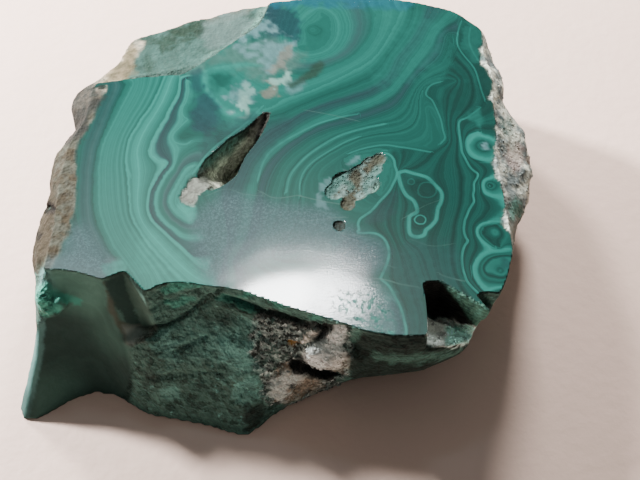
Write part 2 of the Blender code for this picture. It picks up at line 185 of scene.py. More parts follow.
RIGHT_GROWTH = (
    (0.0, RIGHT_BORDER),
    (4.0, (398, 173, 405, 171, 412, 173, 420, 175, 428, 178, 435, 185, 440, 190, 442, 195, 441, 202,
        438, 208, 437, 214, 436, 220, 431, 226, 426, 230, 424, 236, 421, 240, 415, 241, 408, 238, 407, 230,
        408, 222, 409, 215, 413, 208, 413, 200, 407, 196, 403, 190, 400, 182, 398, 173)),
    (6.0, (427, 190)),
    (6.0, (420, 220)),
    (2.0, (455, 80, 442, 82, 433, 84, 428, 88, 426, 95, 432, 100, 437, 110, 441, 120, 443, 130, 445, 138,
        441, 143)),
    (7.0, RIGHT_WAVES),
    (7.0, RIGHT_TOP),
    (9.0, (478, 132, 470, 135, 467, 142, 468, 150, 472, 156, 480, 159, 488, 160)),
    (11.0, (484, 146)),
    (9.0, (491, 177, 484, 180, 482, 186, 484, 192, 488, 195)),
    (11.0, (490, 186)),
    (9.0, (500, 221, 488, 222, 480, 225, 476, 231, 478, 237, 484, 243, 490, 247)),
    (10.0, (497, 225, 488, 226, 483, 230, 485, 236, 492, 242, 500, 247)),
    (11.0, (495, 233)),
    (9.0, (509, 249, 500, 250, 490, 251, 481, 255, 475, 262, 473, 270, 475, 278, 479, 284, 484, 290,
        490, 295)),
    (10.5, (510, 259, 497, 260, 490, 264, 487, 270)),
    (12.0, (500, 270)),
)

# Outlines of the parts of the face that each set of growth lines rules
LEFT_ZONE = (95, 60, 130, 74, 186, 72, 190, 80, 192, 92, 190, 100, 186, 108, 186, 116, 190, 121, 180, 131,
             177, 138, 184, 142, 194, 139, 214, 140, 204, 156, 196, 168, 188, 178, 182, 190, 182, 202,
             192, 213, 200, 222, 204, 240, 210, 262, 218, 292, 218, 340, 40, 340, 40, 200, 60, 120)
RIGHT_ZONE = (461, -20, 458, 32, 457, 42, 452, 60, 446, 74, 438, 83, 428, 86, 426, 96, 433, 102, 438, 112,
              441, 122, 443, 132, 444, 140, 434, 150, 416, 148, 396, 150, 390, 155, 394, 160, 396, 170,
              396, 178, 390, 190, 380, 201, 370, 212, 360, 219, 358, 226, 345, 236, 338, 252, 345, 275,
              370, 280, 390, 290, 398, 304, 402, 320, 404, 345, 560, 345, 580, 200, 540, -20)

# Thin bright lines: half width in pixels, strength, and the traced line
BRIGHT_LINES = (
    (1.2, 0.85, (157, 95, 152, 105, 147, 112, 142, 118, 138, 125, 134, 131, 130, 138, 128, 145, 126, 155,
        126, 162, 128, 170, 131, 176)),
    (1.3, 1.0, LEFT_STEP),
    (1.2, 0.7, (258, 180, 262, 165, 270, 152, 283, 142, 297, 134, 317, 124, 337, 118, 357, 114)),
    (1.5, 0.8, (286, 192, 289, 178, 296, 167, 308, 155, 324, 144, 341, 135, 364, 128, 384, 124)),
    (1.2, 0.65, (350, 153, 365, 148, 384, 145, 400, 147, 414, 149, 430, 152)),
    (1.4, 1.0, RIGHT_BORDER),
    (1.3, 1.0, RIGHT_WAVES),
    (1.1, 0.6, (440, 82, 433, 84, 428, 88, 426, 95, 432, 100, 437, 110, 441, 120, 443, 130, 445, 138,
        441, 143)),
    (1.1, 0.8, RIGHT_TOP),
)
SECOND_BRIGHT_LINES = (
    (2.0, 0.8, (262, 66, 246, 64, 230, 66, 215, 68, 206, 72, 204, 80, 207, 90, 213, 97, 219, 103, 221, 109,
        228, 113, 240, 116)),
    (1.4, 0.9, (194, 172, 205, 157, 215, 147, 225, 139, 245, 124, 255, 114, 262, 107)),
    (1.2, 0.7, (470, 28, 469, 40, 472, 50, 478, 60)),
    (0.9, 0.8, LEFT_HOOK),
    (1.1, 0.8, LEFT_BEND),
    (1.0, 0.7, (300, 196, 300, 182, 305, 170, 315, 160, 329, 151, 345, 142, 358, 137)),
    (2.2, 1.0, (398, 173, 405, 171, 412, 173, 420, 175, 428, 178, 435, 185, 440, 190, 442, 195, 441, 202,
        438, 208, 437, 214, 436, 220, 431, 226, 426, 230, 424, 235, 417, 237, 411, 235, 409, 230, 409, 222,
        410, 216, 417, 212, 416, 205, 413, 200, 407, 196, 403, 190, 400, 182, 398, 173)),
    (2.2, 0.9, (478, 133, 470, 136, 467, 142, 468, 150, 472, 156, 480, 159, 488, 160)),
    (1.9, 0.9, (491, 178, 485, 180, 483, 186, 485, 192, 489, 195, 500, 198)),
    (1.6, 0.9, (500, 222, 488, 223, 480, 226, 477, 231, 479, 237, 485, 243, 491, 247)),
    (2.6, 0.9, (511, 250, 500, 251, 490, 252, 482, 256, 477, 262, 475, 270, 477, 278, 481, 284, 486, 290,
        492, 295)),
)

# Thin pale scratches and cracks of the polish
SCRATCHES = (
    (0.8, 0.9, (300, 196, 322, 201, 345, 205)),
    (0.8, 0.8, (300, 222, 322, 219, 345, 217)),
    (0.9, 1.0, (336, 232, 354, 235, 372, 238)),
    (0.7, 0.6, (305, 110, 332, 115, 358, 121)),
    (0.8, 0.7, (260, 191, 275, 198, 300, 195)),
    (0.9, 1.0, (352, 278, 381, 279, 400, 284, 418, 287)),
    (0.9, 1.0, (440, 274, 447, 277, 463, 281)),
    (0.6, 0.6, (404, 218, 424, 206, 440, 200)),
    (0.6, 0.5, (206, 196, 226, 189, 244, 194, 262, 196)),
    (0.6, 0.6, (360, 246, 380, 262, 396, 268)),
    (0.6, 0.5, (412, 240, 432, 246, 452, 244)),
)

# Soft stains, and painted reflection and sheen, laid one over another: colour, strength, soft edge and
# ragged edge in pixels, outline
FACE_STAINS_AND_PAINTED_LIGHT = (
    ("frost", 0.75, 7, 5, (184, 76, 190, 66, 204, 58, 224, 50, 240, 42, 262, 40, 284, 40, 294, 50, 304, 58,
        290, 72, 262, 80, 240, 72, 216, 66, 200, 74)),
    ("light", 0.8, 3, 1, (262, 66, 246, 62, 230, 64, 214, 66, 204, 71, 201, 80, 204, 91, 211, 98, 217, 104,
        220, 112, 228, 116, 240, 118, 242, 113, 230, 110, 223, 105, 214, 95, 209, 88, 208, 80, 210, 75,
        220, 71, 246, 67)),
    ("deep", 0.7, 4, 3, (210, 76, 224, 73, 232, 78, 226, 86, 214, 90, 209, 84)),
    ("indigo", 0.75, 5, 4, (194, 98, 206, 92, 216, 100, 221, 112, 218, 124, 206, 132, 196, 130, 192, 116)),
    ("indigo", 0.6, 3, 2, (190, 72, 202, 70, 202, 84, 205, 92, 196, 94, 190, 84)),
    ("indigo", 0.8, 4, 3, (250, 12, 266, 4, 284, 6, 298, 16, 302, 28, 296, 42, 284, 38, 272, 36, 264, 28,
        268, 20)),
    # Painted reflection of the bluish sky along the far rim
    ("blue", 0.75, 4, 3, (258, 0, 300, -6, 360, -6, 412, 4, 400, 10, 360, 7, 320, 6, 280, 7, 262, 6)),
    ("cloud", 0.8, 5, 8, (224, 20, 240, 15, 256, 17, 270, 23, 268, 32, 256, 40, 240, 39, 228, 31)),
    ("cloud", 0.7, 5, 8, (242, 46, 256, 42, 270, 43, 284, 38, 292, 44, 290, 56, 280, 66, 268, 71, 260, 66,
        256, 56, 246, 56)),
    ("cream", 0.75, 3, 5, (275, 60, 284, 51, 290, 50, 289, 60, 282, 68, 273, 71)),
    ("cream", 0.8, 3, 5, (262, 92, 268, 86, 277, 84, 277, 92, 269, 98, 262, 97)),
    ("white", 0.8, 2, 5, (274, 80, 280, 75, 290, 75, 293, 80, 286, 85, 277, 86)),
    ("cloud", 0.6, 3, 2, (284, 88, 292, 80, 304, 78, 306, 84, 296, 92, 286, 94)),
    ("olive", 0.9, 3, 2, (287, 84, 296, 78, 308, 70, 317, 62, 322, 66, 316, 76, 304, 84, 292, 88)),
    ("cloud", 0.6, 4, 8, (226, 100, 231, 92, 240, 86, 251, 86, 255, 96, 249, 104, 240, 110, 231, 108)),
    ("white", 0.7, 2, 6, (234, 98, 242, 99, 249, 108, 246, 114, 240, 112, 234, 105)),
    ("white", 0.5, 2, 5, (240, 88, 251, 86, 253, 95, 246, 98, 240, 94)),
    ("mint", 0.7, 3, 2, (183, 204, 196, 208, 192, 222, 184, 216, 178, 206)),
    ("dusk", 0.65, 6, 4, (200, 140, 215, 128, 240, 118, 256, 110, 258, 118, 236, 132, 214, 146, 203, 156)),
    ("dusk", 0.5, 6, 4, (250, 120, 280, 116, 290, 124, 282, 140, 262, 158, 254, 180, 240, 190, 238, 176,
        250, 156, 264, 132)),
    ("dusk", 0.45, 8, 5, (345, 240, 360, 234, 376, 238, 386, 250, 384, 266, 374, 276, 352, 274, 342, 258)),
    ("dusk", 0.5, 5, 4, (366, 216, 380, 204, 392, 190, 398, 196, 392, 212, 378, 224, 366, 226)),
    ("teal", 0.45, 12, 6, (372, 10, 420, 10, 444, 24, 440, 50, 420, 72, 392, 84, 372, 76, 384, 50)),
    ("night", 0.35, 6, 4, (446, 84, 470, 82, 480, 90, 484, 104, 466, 114, 452, 114, 442, 102)),
    ("night", 0.3, 6, 4, (443, 18, 456, 18, 455, 44, 462, 60, 474, 78, 458, 78, 446, 60)),
    ("night", 0.5, 5, 3, (403, 178, 414, 176, 430, 181, 438, 192, 436, 206, 426, 214, 416, 212, 418, 204,
        408, 194)),
    ("teal", 0.6, 4, 3, (462, 24, 476, 22, 484, 34, 482, 48, 484, 60, 476, 62, 468, 54, 462, 44)),
    ("teal", 0.7, 2, 2, (479, 108, 482, 120, 480, 127, 474, 121, 467, 118)),
    ("slate", 0.6, 8, 5, (392, 246, 430, 240, 458, 250, 460, 284, 440, 296, 408, 296, 398, 284, 390, 266)),
    ("teal", 0.75, 4, 6, (352, 296, 366, 288, 384, 290, 396, 306, 400, 322, 398, 334, 376, 332, 356, 322)),
    ("slate", 0.6, 4, 3, (404, 292, 418, 290, 424, 306, 426, 322, 426, 334, 412, 334, 408, 312)),
    ("dusk", 0.8, 1.5, 1, (392, 300, 398, 308, 402, 322, 402, 334, 397, 334, 396, 318, 390, 306)),
    # Painted sheen along the near left rim
    ("rim_sheen", 0.6, 5, 3, (40, 272, 46, 262, 60, 254, 78, 252, 96, 262, 112, 258, 124, 268, 108, 284,
        80, 280, 58, 276)),
    ("haze", 0.6, 5, 3, (62, 246, 70, 232, 80, 228, 92, 246, 104, 262, 96, 266, 80, 258, 64, 256)),
    ("rind_dark", 0.9, 3, 4, (66, 136, 74, 112, 84, 98, 96, 90, 103, 90, 98, 104, 90, 118, 84, 132,
        76, 142)),
    ("light", 0.7, 2, 1, (101, 266, 122, 260, 126, 270, 108, 277)),
    ("cloud", 0.7, 1, 1.5, (482, 144, 488, 141, 487, 146, 490, 150, 484, 150)),
    # Painted sheen: the lower left bands made paler where the highlight's broad reflection spreads
    ("mint", 0.35, 14, 4, (136, 236, 152, 232, 178, 250, 204, 270, 214, 286, 196, 290, 160, 284, 140, 270)),
    ("cloud", 0.5, 1.5, 5, (320, 184, 334, 178, 344, 172, 354, 164, 360, 156, 350, 160, 346, 168, 330, 182,
        318, 196, 324, 206, 316, 204)),
    ("slate", 0.7, 2, 4, (500, 262, 508, 258, 512, 264, 506, 272, 500, 270)),
    ("slate", 0.5, 5, 3, (97, 120, 112, 92, 118, 94, 106, 122, 98, 150, 96, 180, 90, 180, 92, 146)),
)

# Where the polish is duller and grainy; there its colour also takes painted sheen and glints
DULL_PATCHES = (
    (192, 222, 208, 204, 232, 194, 262, 200, 300, 206, 330, 210, 348, 226, 366, 236, 382, 244, 384, 262,
        366, 274, 338, 268, 300, 258, 268, 262, 240, 274, 222, 290, 206, 282, 196, 250),
    (330, 258, 352, 268, 384, 290, 396, 306, 400, 340, 350, 336, 300, 306),
    (70, 228, 84, 226, 98, 244, 108, 262, 100, 276, 78, 272, 60, 268),
)

# Growth bands, in levels counted from the lowest one of their lines: where each ramp of colours ends, and
# then the level of each colour
LEFT_RAMP_END = 14.0
MIDDLE_LOWEST = -6.0
MIDDLE_RAMP_END = 22.0
RIGHT_RAMP_END = 12.5
# The greyish and purplish bands, slate, haze and dusk, are partly the stone's own colour and partly painted
# sheen of its fibres
LEFT_BANDS = (
    (0.0, "night"), (0.25, "deep"), (0.9, "slate"), (1.15, "slate"), (1.6, "haze"), (2.0, "slate"),
    (2.3, "deep"), (2.5, "sea"), (2.8, "sea"), (3.05, "teal"), (4.6, "teal"), (6.4, "teal"), (6.85, "sea"),
    (7.05, "light"), (7.25, "teal"), (8.0, "light"), (8.7, "teal"), (9.15, "sea"), (9.4, "mint"),
    (9.65, "dusk"), (10.25, "slate"), (10.5, "light"), (10.8, "teal"), (11.2, "sea"), (11.6, "haze"),
    (12.2, "slate"), (12.6, "teal"), (13.0, "light"), (13.5, "teal"), (14.0, "light"),
)
MIDDLE_BANDS = (
    (0.0, "sea"), (1.2, "sea"), (2.0, "teal"), (2.8, "teal"), (3.5, "haze"), (4.4, "sea"), (5.2, "teal"),
    (6.0, "teal"), (6.8, "sea"), (7.6, "deep"), (8.3, "sea"), (9.2, "dusk"), (10.1, "slate"), (10.8, "sea"),
    (11.2, "teal"), (11.6, "sea"), (12.4, "dusk"), (12.9, "slate"), (13.8, "deep"), (14.6, "sea"),
    (15.2, "deep"), (15.6, "sea"), (16.0, "deep"), (16.5, "sea"), (17.0, "deep"), (17.6, "sea"),
    (18.3, "deep"), (19.0, "sea"), (19.6, "deep"), (20.4, "sea"), (21.2, "sea"),
)
RIGHT_BANDS = (
    (0.0, "deep"), (0.5, "night"), (1.2, "deep"), (1.6, "night"), (2.6, "deep"), (3.4, "night"),
    (3.8, "deep"), (4.4, "night"), (5.2, "deep"), (6.0, "night"), (6.6, "deep"), (7.2, "night"),
    (7.8, "deep"), (8.4, "night"), (8.85, "deep"), (9.0, "light"), (9.2, "teal"), (9.45, "deep"),
    (9.7, "sea"), (9.95, "night"), (10.2, "deep"), (10.45, "teal"), (10.8, "deep"), (11.3, "sea"),
    (12.2, "slate"),
)

# Round markings of the face: pixel x and y, radius in pixels, strength; light rings and dark discs
LIGHT_RINGS = ((427, 190, 9.5, 0.35), (420, 220, 5.2, 0.8), (411, 182, 3.2, 0.4))
DARK_DISCS = ((427, 190, 9.0, 0.8), (420, 220, 5.0, 0.7))

# Noises of the shapes: size in metres, number of octaves and seed
STAIN_EDGE_NOISE = (0.0010, 4, 53)
WANDER_X_NOISE = (0.0022, 3, 11)
WANDER_Y_NOISE = (0.0022, 3, 17)
FAR_RIND_NOISE = (0.009, 3, 23)
FAR_MATRIX_NOISE = (0.007, 3, 29)
BREAK_NOISE = (0.0030, 4, 37)
MATRIX_NOISE = (0.0008, 2, 43)
RIND_NOISE = (0.0020, 4, 47)

# Loose cells of the break and of the grains: size in metres and seed
BREAK_CELLS = (0.0016, 31)
GRAIN_CELLS = (0.0010, 41)

# How far outlines wander, in pixels
WANDER_PIXELS = 7.0

# Steps from each traced point to the next: of growth lines, lines and patches, and pixel outlines
GROWTH_STEPS = 24
LINE_STEPS = 4
PIXEL_STEPS = 3

# The grid of growth levels: its step in metres, the multiples of that step at which it is worked out in
# turn, and how often the first and each next one is smoothed
GRID_STEP = 0.00025
COARSE_GRIDS = (8, 4, 2, 1)
FIRST_SWEEPS = 600
NEXT_SWEEPS = 260

# Soft edges of the zones, dull patches and hollows, and how far a thin line reaches, in metres
LEFT_ZONE_EDGE = 0.0012
RIGHT_ZONE_EDGE = 0.0009
DULL_EDGE = 0.0016
HOLLOW_EDGE = 0.0003
LINE_REACH = 0.0007

# A distance past every other one, and a number of half widths or cells past every other one
FAR_AWAY = 1e9
NOT_NEAR = 9.0

# Whole numbers that scatter the three parts of a cell and its seed, and then stir them twice
SCATTER = (73856093, 19349663, 83492791)
SCATTER_SEED = 374761393
STIR = (1274126177, 2246822519)
LOW_32_BITS = 0xFFFFFFFF
LOW_16_BITS = 0xFFFF

# The least squared length of a step along a line, and where a thin line starts to fade, as a share of its
# reach
LEAST_SQUARE = 1e-18
FADE_START = 0.65

# How close loose corners are that get merged, and how far below the face still counts as the face, in metres
MERGE_DISTANCE = 1e-7
FACE_TOLERANCE = 0.01 * MM

# The even mesh: strength and number of its smoothings, and the share of the underside's triangles that is
# merged away
RELAX_SHARE = 0.5
RELAX_TIMES = 3
THINNED_SHARE = 0.96

# How deep below the face the masks of the hollows reach, in metres
VUG_REACH = 4 * MM
FISSURE_REACH = 8 * MM

# What the fissure's depth is multiplied by at its near end, how far from there, in metres, it starts and
# ends to grow to its full depth, and the share that the grains take off the depth of the vugs
NEAR_END_DEPTH = 0.2
SLOPE_START = 0.6 * MM
SLOPE_END = 3.6 * MM
VUG_FILLING = 0.75


def smooth(low, high, value):
    """0 below low, 1 above high, and t * t * (3 - 2 t) between them."""
    share = np.clip((value - low) / (high - low), 0.0, 1.0)
    return share * share * (3.0 - 2.0 * share)


def pairs(flat):
    """A flat run of x, y numbers as rows of two."""
    return np.array(flat, float).reshape(-1, 2)


def on_face(pixels):
    """x, y in metres where the camera's rays through the pixels cut the plane of the polished face."""
    pixels = np.atleast_2d(np.asarray(pixels, float))
    across = (pixels[:, 0] - PHOTO_WIDTH / 2) / FOCAL_PIXELS
    rise = -(pixels[:, 1] - PHOTO_HEIGHT / 2) / FOCAL_PIXELS
    rays = FORWARD + across[:, None] * RIGHTWARD + rise[:, None] * UPWARD
    reach = (FACE_HEIGHT - CAMERA_PLACE[2]) / rays[:, 2]
    return (CAMERA_PLACE + rays * reach[:, None])[:, :2]


def in_photo(points):
    """The pixel at which the camera sees each point."""
    offset = points - CAMERA_PLACE
    depth = offset @ FORWARD
    across = offset @ RIGHTWARD / depth
    rise = offset @ UPWARD / depth
    return np.stack([PHOTO_WIDTH / 2 + across * FOCAL_PIXELS,
                     PHOTO_HEIGHT / 2 - rise * FOCAL_PIXELS], axis=1)


def flowing(points, steps):
    """A line through the points that bends smoothly: a Catmull-Rom curve, whose direction at each
    point is that from the point before to the point after."""
    if len(points) < 3:
        return points
    ends = np.vstack([2 * points[0] - points[1], points, 2 * points[-1] - points[-2]])
    t = np.linspace(0, 1, steps, endpoint=False)[None, :, None]
    before, here, after, beyond = (ends[k:len(ends) - 3 + k][:, None, :] for k in range(4))
    curve = 0.5 * (2 * here + (after - before) * t
                   + (2 * before - 5 * here + 4 * after - beyond) * t ** 2
                   + (3 * here - before - 3 * after + beyond) * t ** 3)
    return np.vstack([curve.reshape(-1, points.shape[1]), points[-1:]])


def lattice(cells, seed):
    """A number from 0 to 1 for each whole-number cell, always the same for the same cell and seed."""
    x, y, z = (cells[..., k] * SCATTER[k] for k in range(3))
    mixed = ((x ^ y ^ z) + seed * SCATTER_SEED) & LOW_32_BITS
    mixed = ((mixed ^ (mixed >> 13)) * STIR[0]) & LOW_32_BITS
    mixed = ((mixed ^ (mixed >> 15)) * STIR[1]) & LOW_32_BITS
    return ((mixed ^ (mixed >> 16)) & LOW_16_BITS) / LOW_16_BITS


def ripple(points, size, seed):
    """Smooth noise from -1 to 1: the numbers at the eight corners of each point's cell, blended."""
    place = points / size
    base = np.floor(place).astype(np.int64)
    part = place - base
    part = part * part * (3.0 - 2.0 * part)
    total = np.zeros(len(points))
    for corner in np.ndindex(2, 2, 2):
        step = np.array(corner)
        weight = np.prod(np.where(step == 1, part, 1.0 - part), axis=1)
        total += weight * lattice(base + step, seed)
    return total * 2.0 - 1.0


def roughness(points, size, octaves, seed):
    """Noise of several sizes: each next one has half the size and half the height."""
    total = np.zeros(len(points))
    height = 1.0
    for octave in range(octaves):
        total += height * ripple(points, size / 2 ** octave, seed + octave)
        height *= 0.5
    return total / (2.0 - height * 2.0)


def facets(points, size, seed):
    """Broken grains: each point belongs to its nearest loose cell centre. Gives the distance to
    that centre in cells, the extra distance to the next one, and a number from 0 to 1 for the grain."""
    place = points / size
    base = np.floor(place).astype(np.int64)
    nearest = np.full(len(points), NOT_NEAR)
    second = np.full(len(points), NOT_NEAR)
    shade = np.zeros(len(points))
    for corner in np.ndindex(3, 3, 3):
        cell = base + np.array(corner) - 1
        centre = cell + np.stack([lattice(cell, seed + k) for k in range(3)], axis=1)
        gap = np.linalg.norm(place - centre, axis=1)
        closer = gap < nearest
        second = np.where(closer, nearest, np.minimum(second, gap))
        shade = np.where(closer, lattice(cell, seed + 3), shade)
        nearest = np.where(closer, gap, nearest)
    return nearest, second - nearest, shade


def inside(outline, places):
    """Which places lie inside an outline: a level ray from the place crosses it an odd number of times."""
    crossings = np.zeros(len(places), bool)
    for start, end in zip(outline, np.roll(outline, -1, axis=0)):
        spans = (start[1] > places[:, 1]) != (end[1] > places[:, 1])
        rise = end[1] - start[1]
        if rise != 0:
            cut = start[0] + (places[:, 1] - start[1]) * (end[0] - start[0]) / rise
            crossings ^= spans & (places[:, 0] < cut)
    return crossings


def edge_distance(line, places):
    """How far each place is from a line of points, and on which side: positive on its left."""
    best = np.full(len(places), FAR_AWAY)
    side = np.ones(len(places))
    for start, end in zip(line[:-1], line[1:]):
        run = end - start
        away = places - start
        share = np.clip(away @ run / max(run @ run, LEAST_SQUARE), 0.0, 1.0)
        gap = np.hypot(away[:, 0] - share * run[0], away[:, 1] - share * run[1])
        closer = gap < best
        turn = run[0] * away[closer, 1] - run[1] * away[closer, 0]
        side[closer] = np.where(turn < 0, -1.0, 1.0)
        best[closer] = gap[closer]
    return best, side


def near_line(line, places, reach):
    """Which places lie in the line's box, made wider by the reach."""
    low, high = line.min(axis=0) - reach, line.max(axis=0) + reach
    return np.all((places > low) & (places < high), axis=1)


class Face:
    """A square grid over the polished face, on which growth levels are worked out."""

    def __init__(self, step):
        self.step = step
        margin = 2 * MM
        self.low = np.array(CAD_BOX[0][:2]) - margin
        span = np.array(CAD_BOX[1][:2]) + margin - self.low
        self.count = np.ceil(span / step).astype(int) + 1

    def levels(self, lines):
        """Cells on a traced line keep its level, and every other cell is the mean of its four
        neighbours, worked out on a coarse grid first and then on finer ones."""
        grid = None
        for coarse in COARSE_GRIDS:
            step = self.step * coarse
            count = np.ceil((self.count - 1) / coarse).astype(int) + 1
            total = np.zeros(count)
            hits = np.zeros(count)
            for level, flat in lines:
                line = flowing(on_face(pairs(flat)), GROWTH_STEPS)
                cell = np.clip(np.round((line - self.low) / step).astype(int), 0, count - 1)
                np.add.at(total, (cell[:, 0], cell[:, 1]), level)
                np.add.at(hits, (cell[:, 0], cell[:, 1]), 1)
            fixed = hits > 0
            held = total / np.maximum(hits, 1)
            if grid is None:
                grid = np.full(count, held[fixed].mean())
            else:
                grid = np.repeat(np.repeat(grid, 2, 0), 2, 1)
                grid = np.pad(grid, ((0, 2), (0, 2)), mode="edge")[:count[0], :count[1]]
            for _ in range(FIRST_SWEEPS if coarse == COARSE_GRIDS[0] else NEXT_SWEEPS):
                grid = np.where(fixed, held, grid)
                wide = np.pad(grid, 1, mode="edge")
                grid = 0.25 * (wide[:-2, 1:-1] + wide[2:, 1:-1] + wide[1:-1, :-2] + wide[1:-1, 2:])
            grid = np.where(fixed, held, grid)
        return grid

    def read(self, grid, places):
        """The grid's value at each place, blended between the four cells around it."""
        spot = np.clip((places - self.low) / self.step, 0, np.array(grid.shape) - 1.001)
        base = spot.astype(int)
        part = spot - base
        x, y = base[:, 0], base[:, 1]
        lower = grid[x, y] * (1 - part[:, 0]) + grid[x + 1, y] * part[:, 0]
        upper = grid[x, y + 1] * (1 - part[:, 0]) + grid[x + 1, y + 1] * part[:, 0]
        return lower * (1 - part[:, 1]) + upper * part[:, 1]


def drawn_lines(lines, places):
    """For a set of thin lines: the distance to the nearest in half widths, with its side's sign, and
    that line's strength, which fades out past the reach."""
    across = np.full(len(places), NOT_NEAR)
    strength = np.zeros(len(places))
    best = np.full(len(places), FAR_AWAY)
    for half_width, power, flat in lines:
        line = flowing(on_face(pairs(flat)), LINE_STEPS)
        close = np.flatnonzero(near_line(line, places, LINE_REACH))
        gap, side = edge_distance(line, places[close])
        closer = gap < best[close]
        kept, gap, side = close[closer], gap[closer], side[closer]
        across[kept] = gap * side / (half_width * PIXEL_SIZE)
        strength[kept] = power * (1.0 - smooth(FADE_START, 1.0, gap / LINE_REACH))
        best[kept] = gap
    return across, strength


def soft_patches(outlines, places, soft):
    """1 inside the outlines and 0 outside, with a soft edge."""
    share = np.zeros(len(places))
    for flat in outlines:
        outline = flowing(on_face(pairs(flat + flat[:2])), LINE_STEPS)
        close = np.flatnonzero(near_line(outline, places, soft))
        gap, _ = edge_distance(outline, places[close])
        signed = np.where(inside(outline, places[close]), gap, -gap)
        share[close] = np.maximum(share[close], smooth(-soft, soft, signed))
    return share


def get_points(mesh):
    """The mesh's points as rows of x, y, z."""
    points = np.empty(len(mesh.vertices) * 3, np.float32)
    mesh.vertices.foreach_get("co", points)
    return points.reshape(-1, 3).astype(float)


def get_normals(mesh):
    """The mesh's point normals as rows of x, y, z."""
    normals = np.empty(len(mesh.vertices) * 3, np.float32)
    mesh.vertices.foreach_get("normal", normals)
    return normals.reshape(-1, 3).astype(float)


def set_points(mesh, points):
    """Puts rows of x, y, z into the mesh."""
    mesh.vertices.foreach_set("co", points.astype(np.float32).ravel())
    mesh.update()


def set_attribute(mesh, name, values):
    """Keeps one number for each point of the mesh under a name."""
    layer = mesh.attributes.new(name, "FLOAT", "POINT")
    layer.data.foreach_set("value", values.astype(np.float32))


# Outlines, in the photograph's pixels, of the places where the broken sides change their stuff
MATRIX_OUTLINES = (
    (256, 316, 268, 306, 284, 316, 300, 322, 330, 322, 352, 326, 356, 340, 351, 372, 332, 388, 300, 402,
        268, 408, 262, 396, 264, 380, 254, 366, 250, 350, 252, 334),
)
TAN_OUTLINES = (
    (276, 372, 292, 366, 300, 376, 316, 380, 312, 392, 292, 402, 276, 402),
    (68, 104, 100, 78, 132, 38, 142, 42, 130, 74, 104, 88, 78, 112),
)
RIND_OUTLINES = (
    (104, 84, 101, 95, 97, 103, 93, 112, 88, 124, 84, 132, 80, 140, 77, 150, 76, 162, 75, 175, 75, 190,
        74, 205, 74, 215, 73, 227, 70, 240, 62, 250, 54, 262, 44, 276, 20, 275, 10, 200, 40, 130, 70, 95),
    (483, 20, 483, 29, 479, 46, 484, 64, 494, 87, 491, 97, 495, 124, 493, 158, 501, 185, 506, 199, 503, 213,
        514, 245, 518, 262, 560, 250, 570, 150, 520, 20),
)
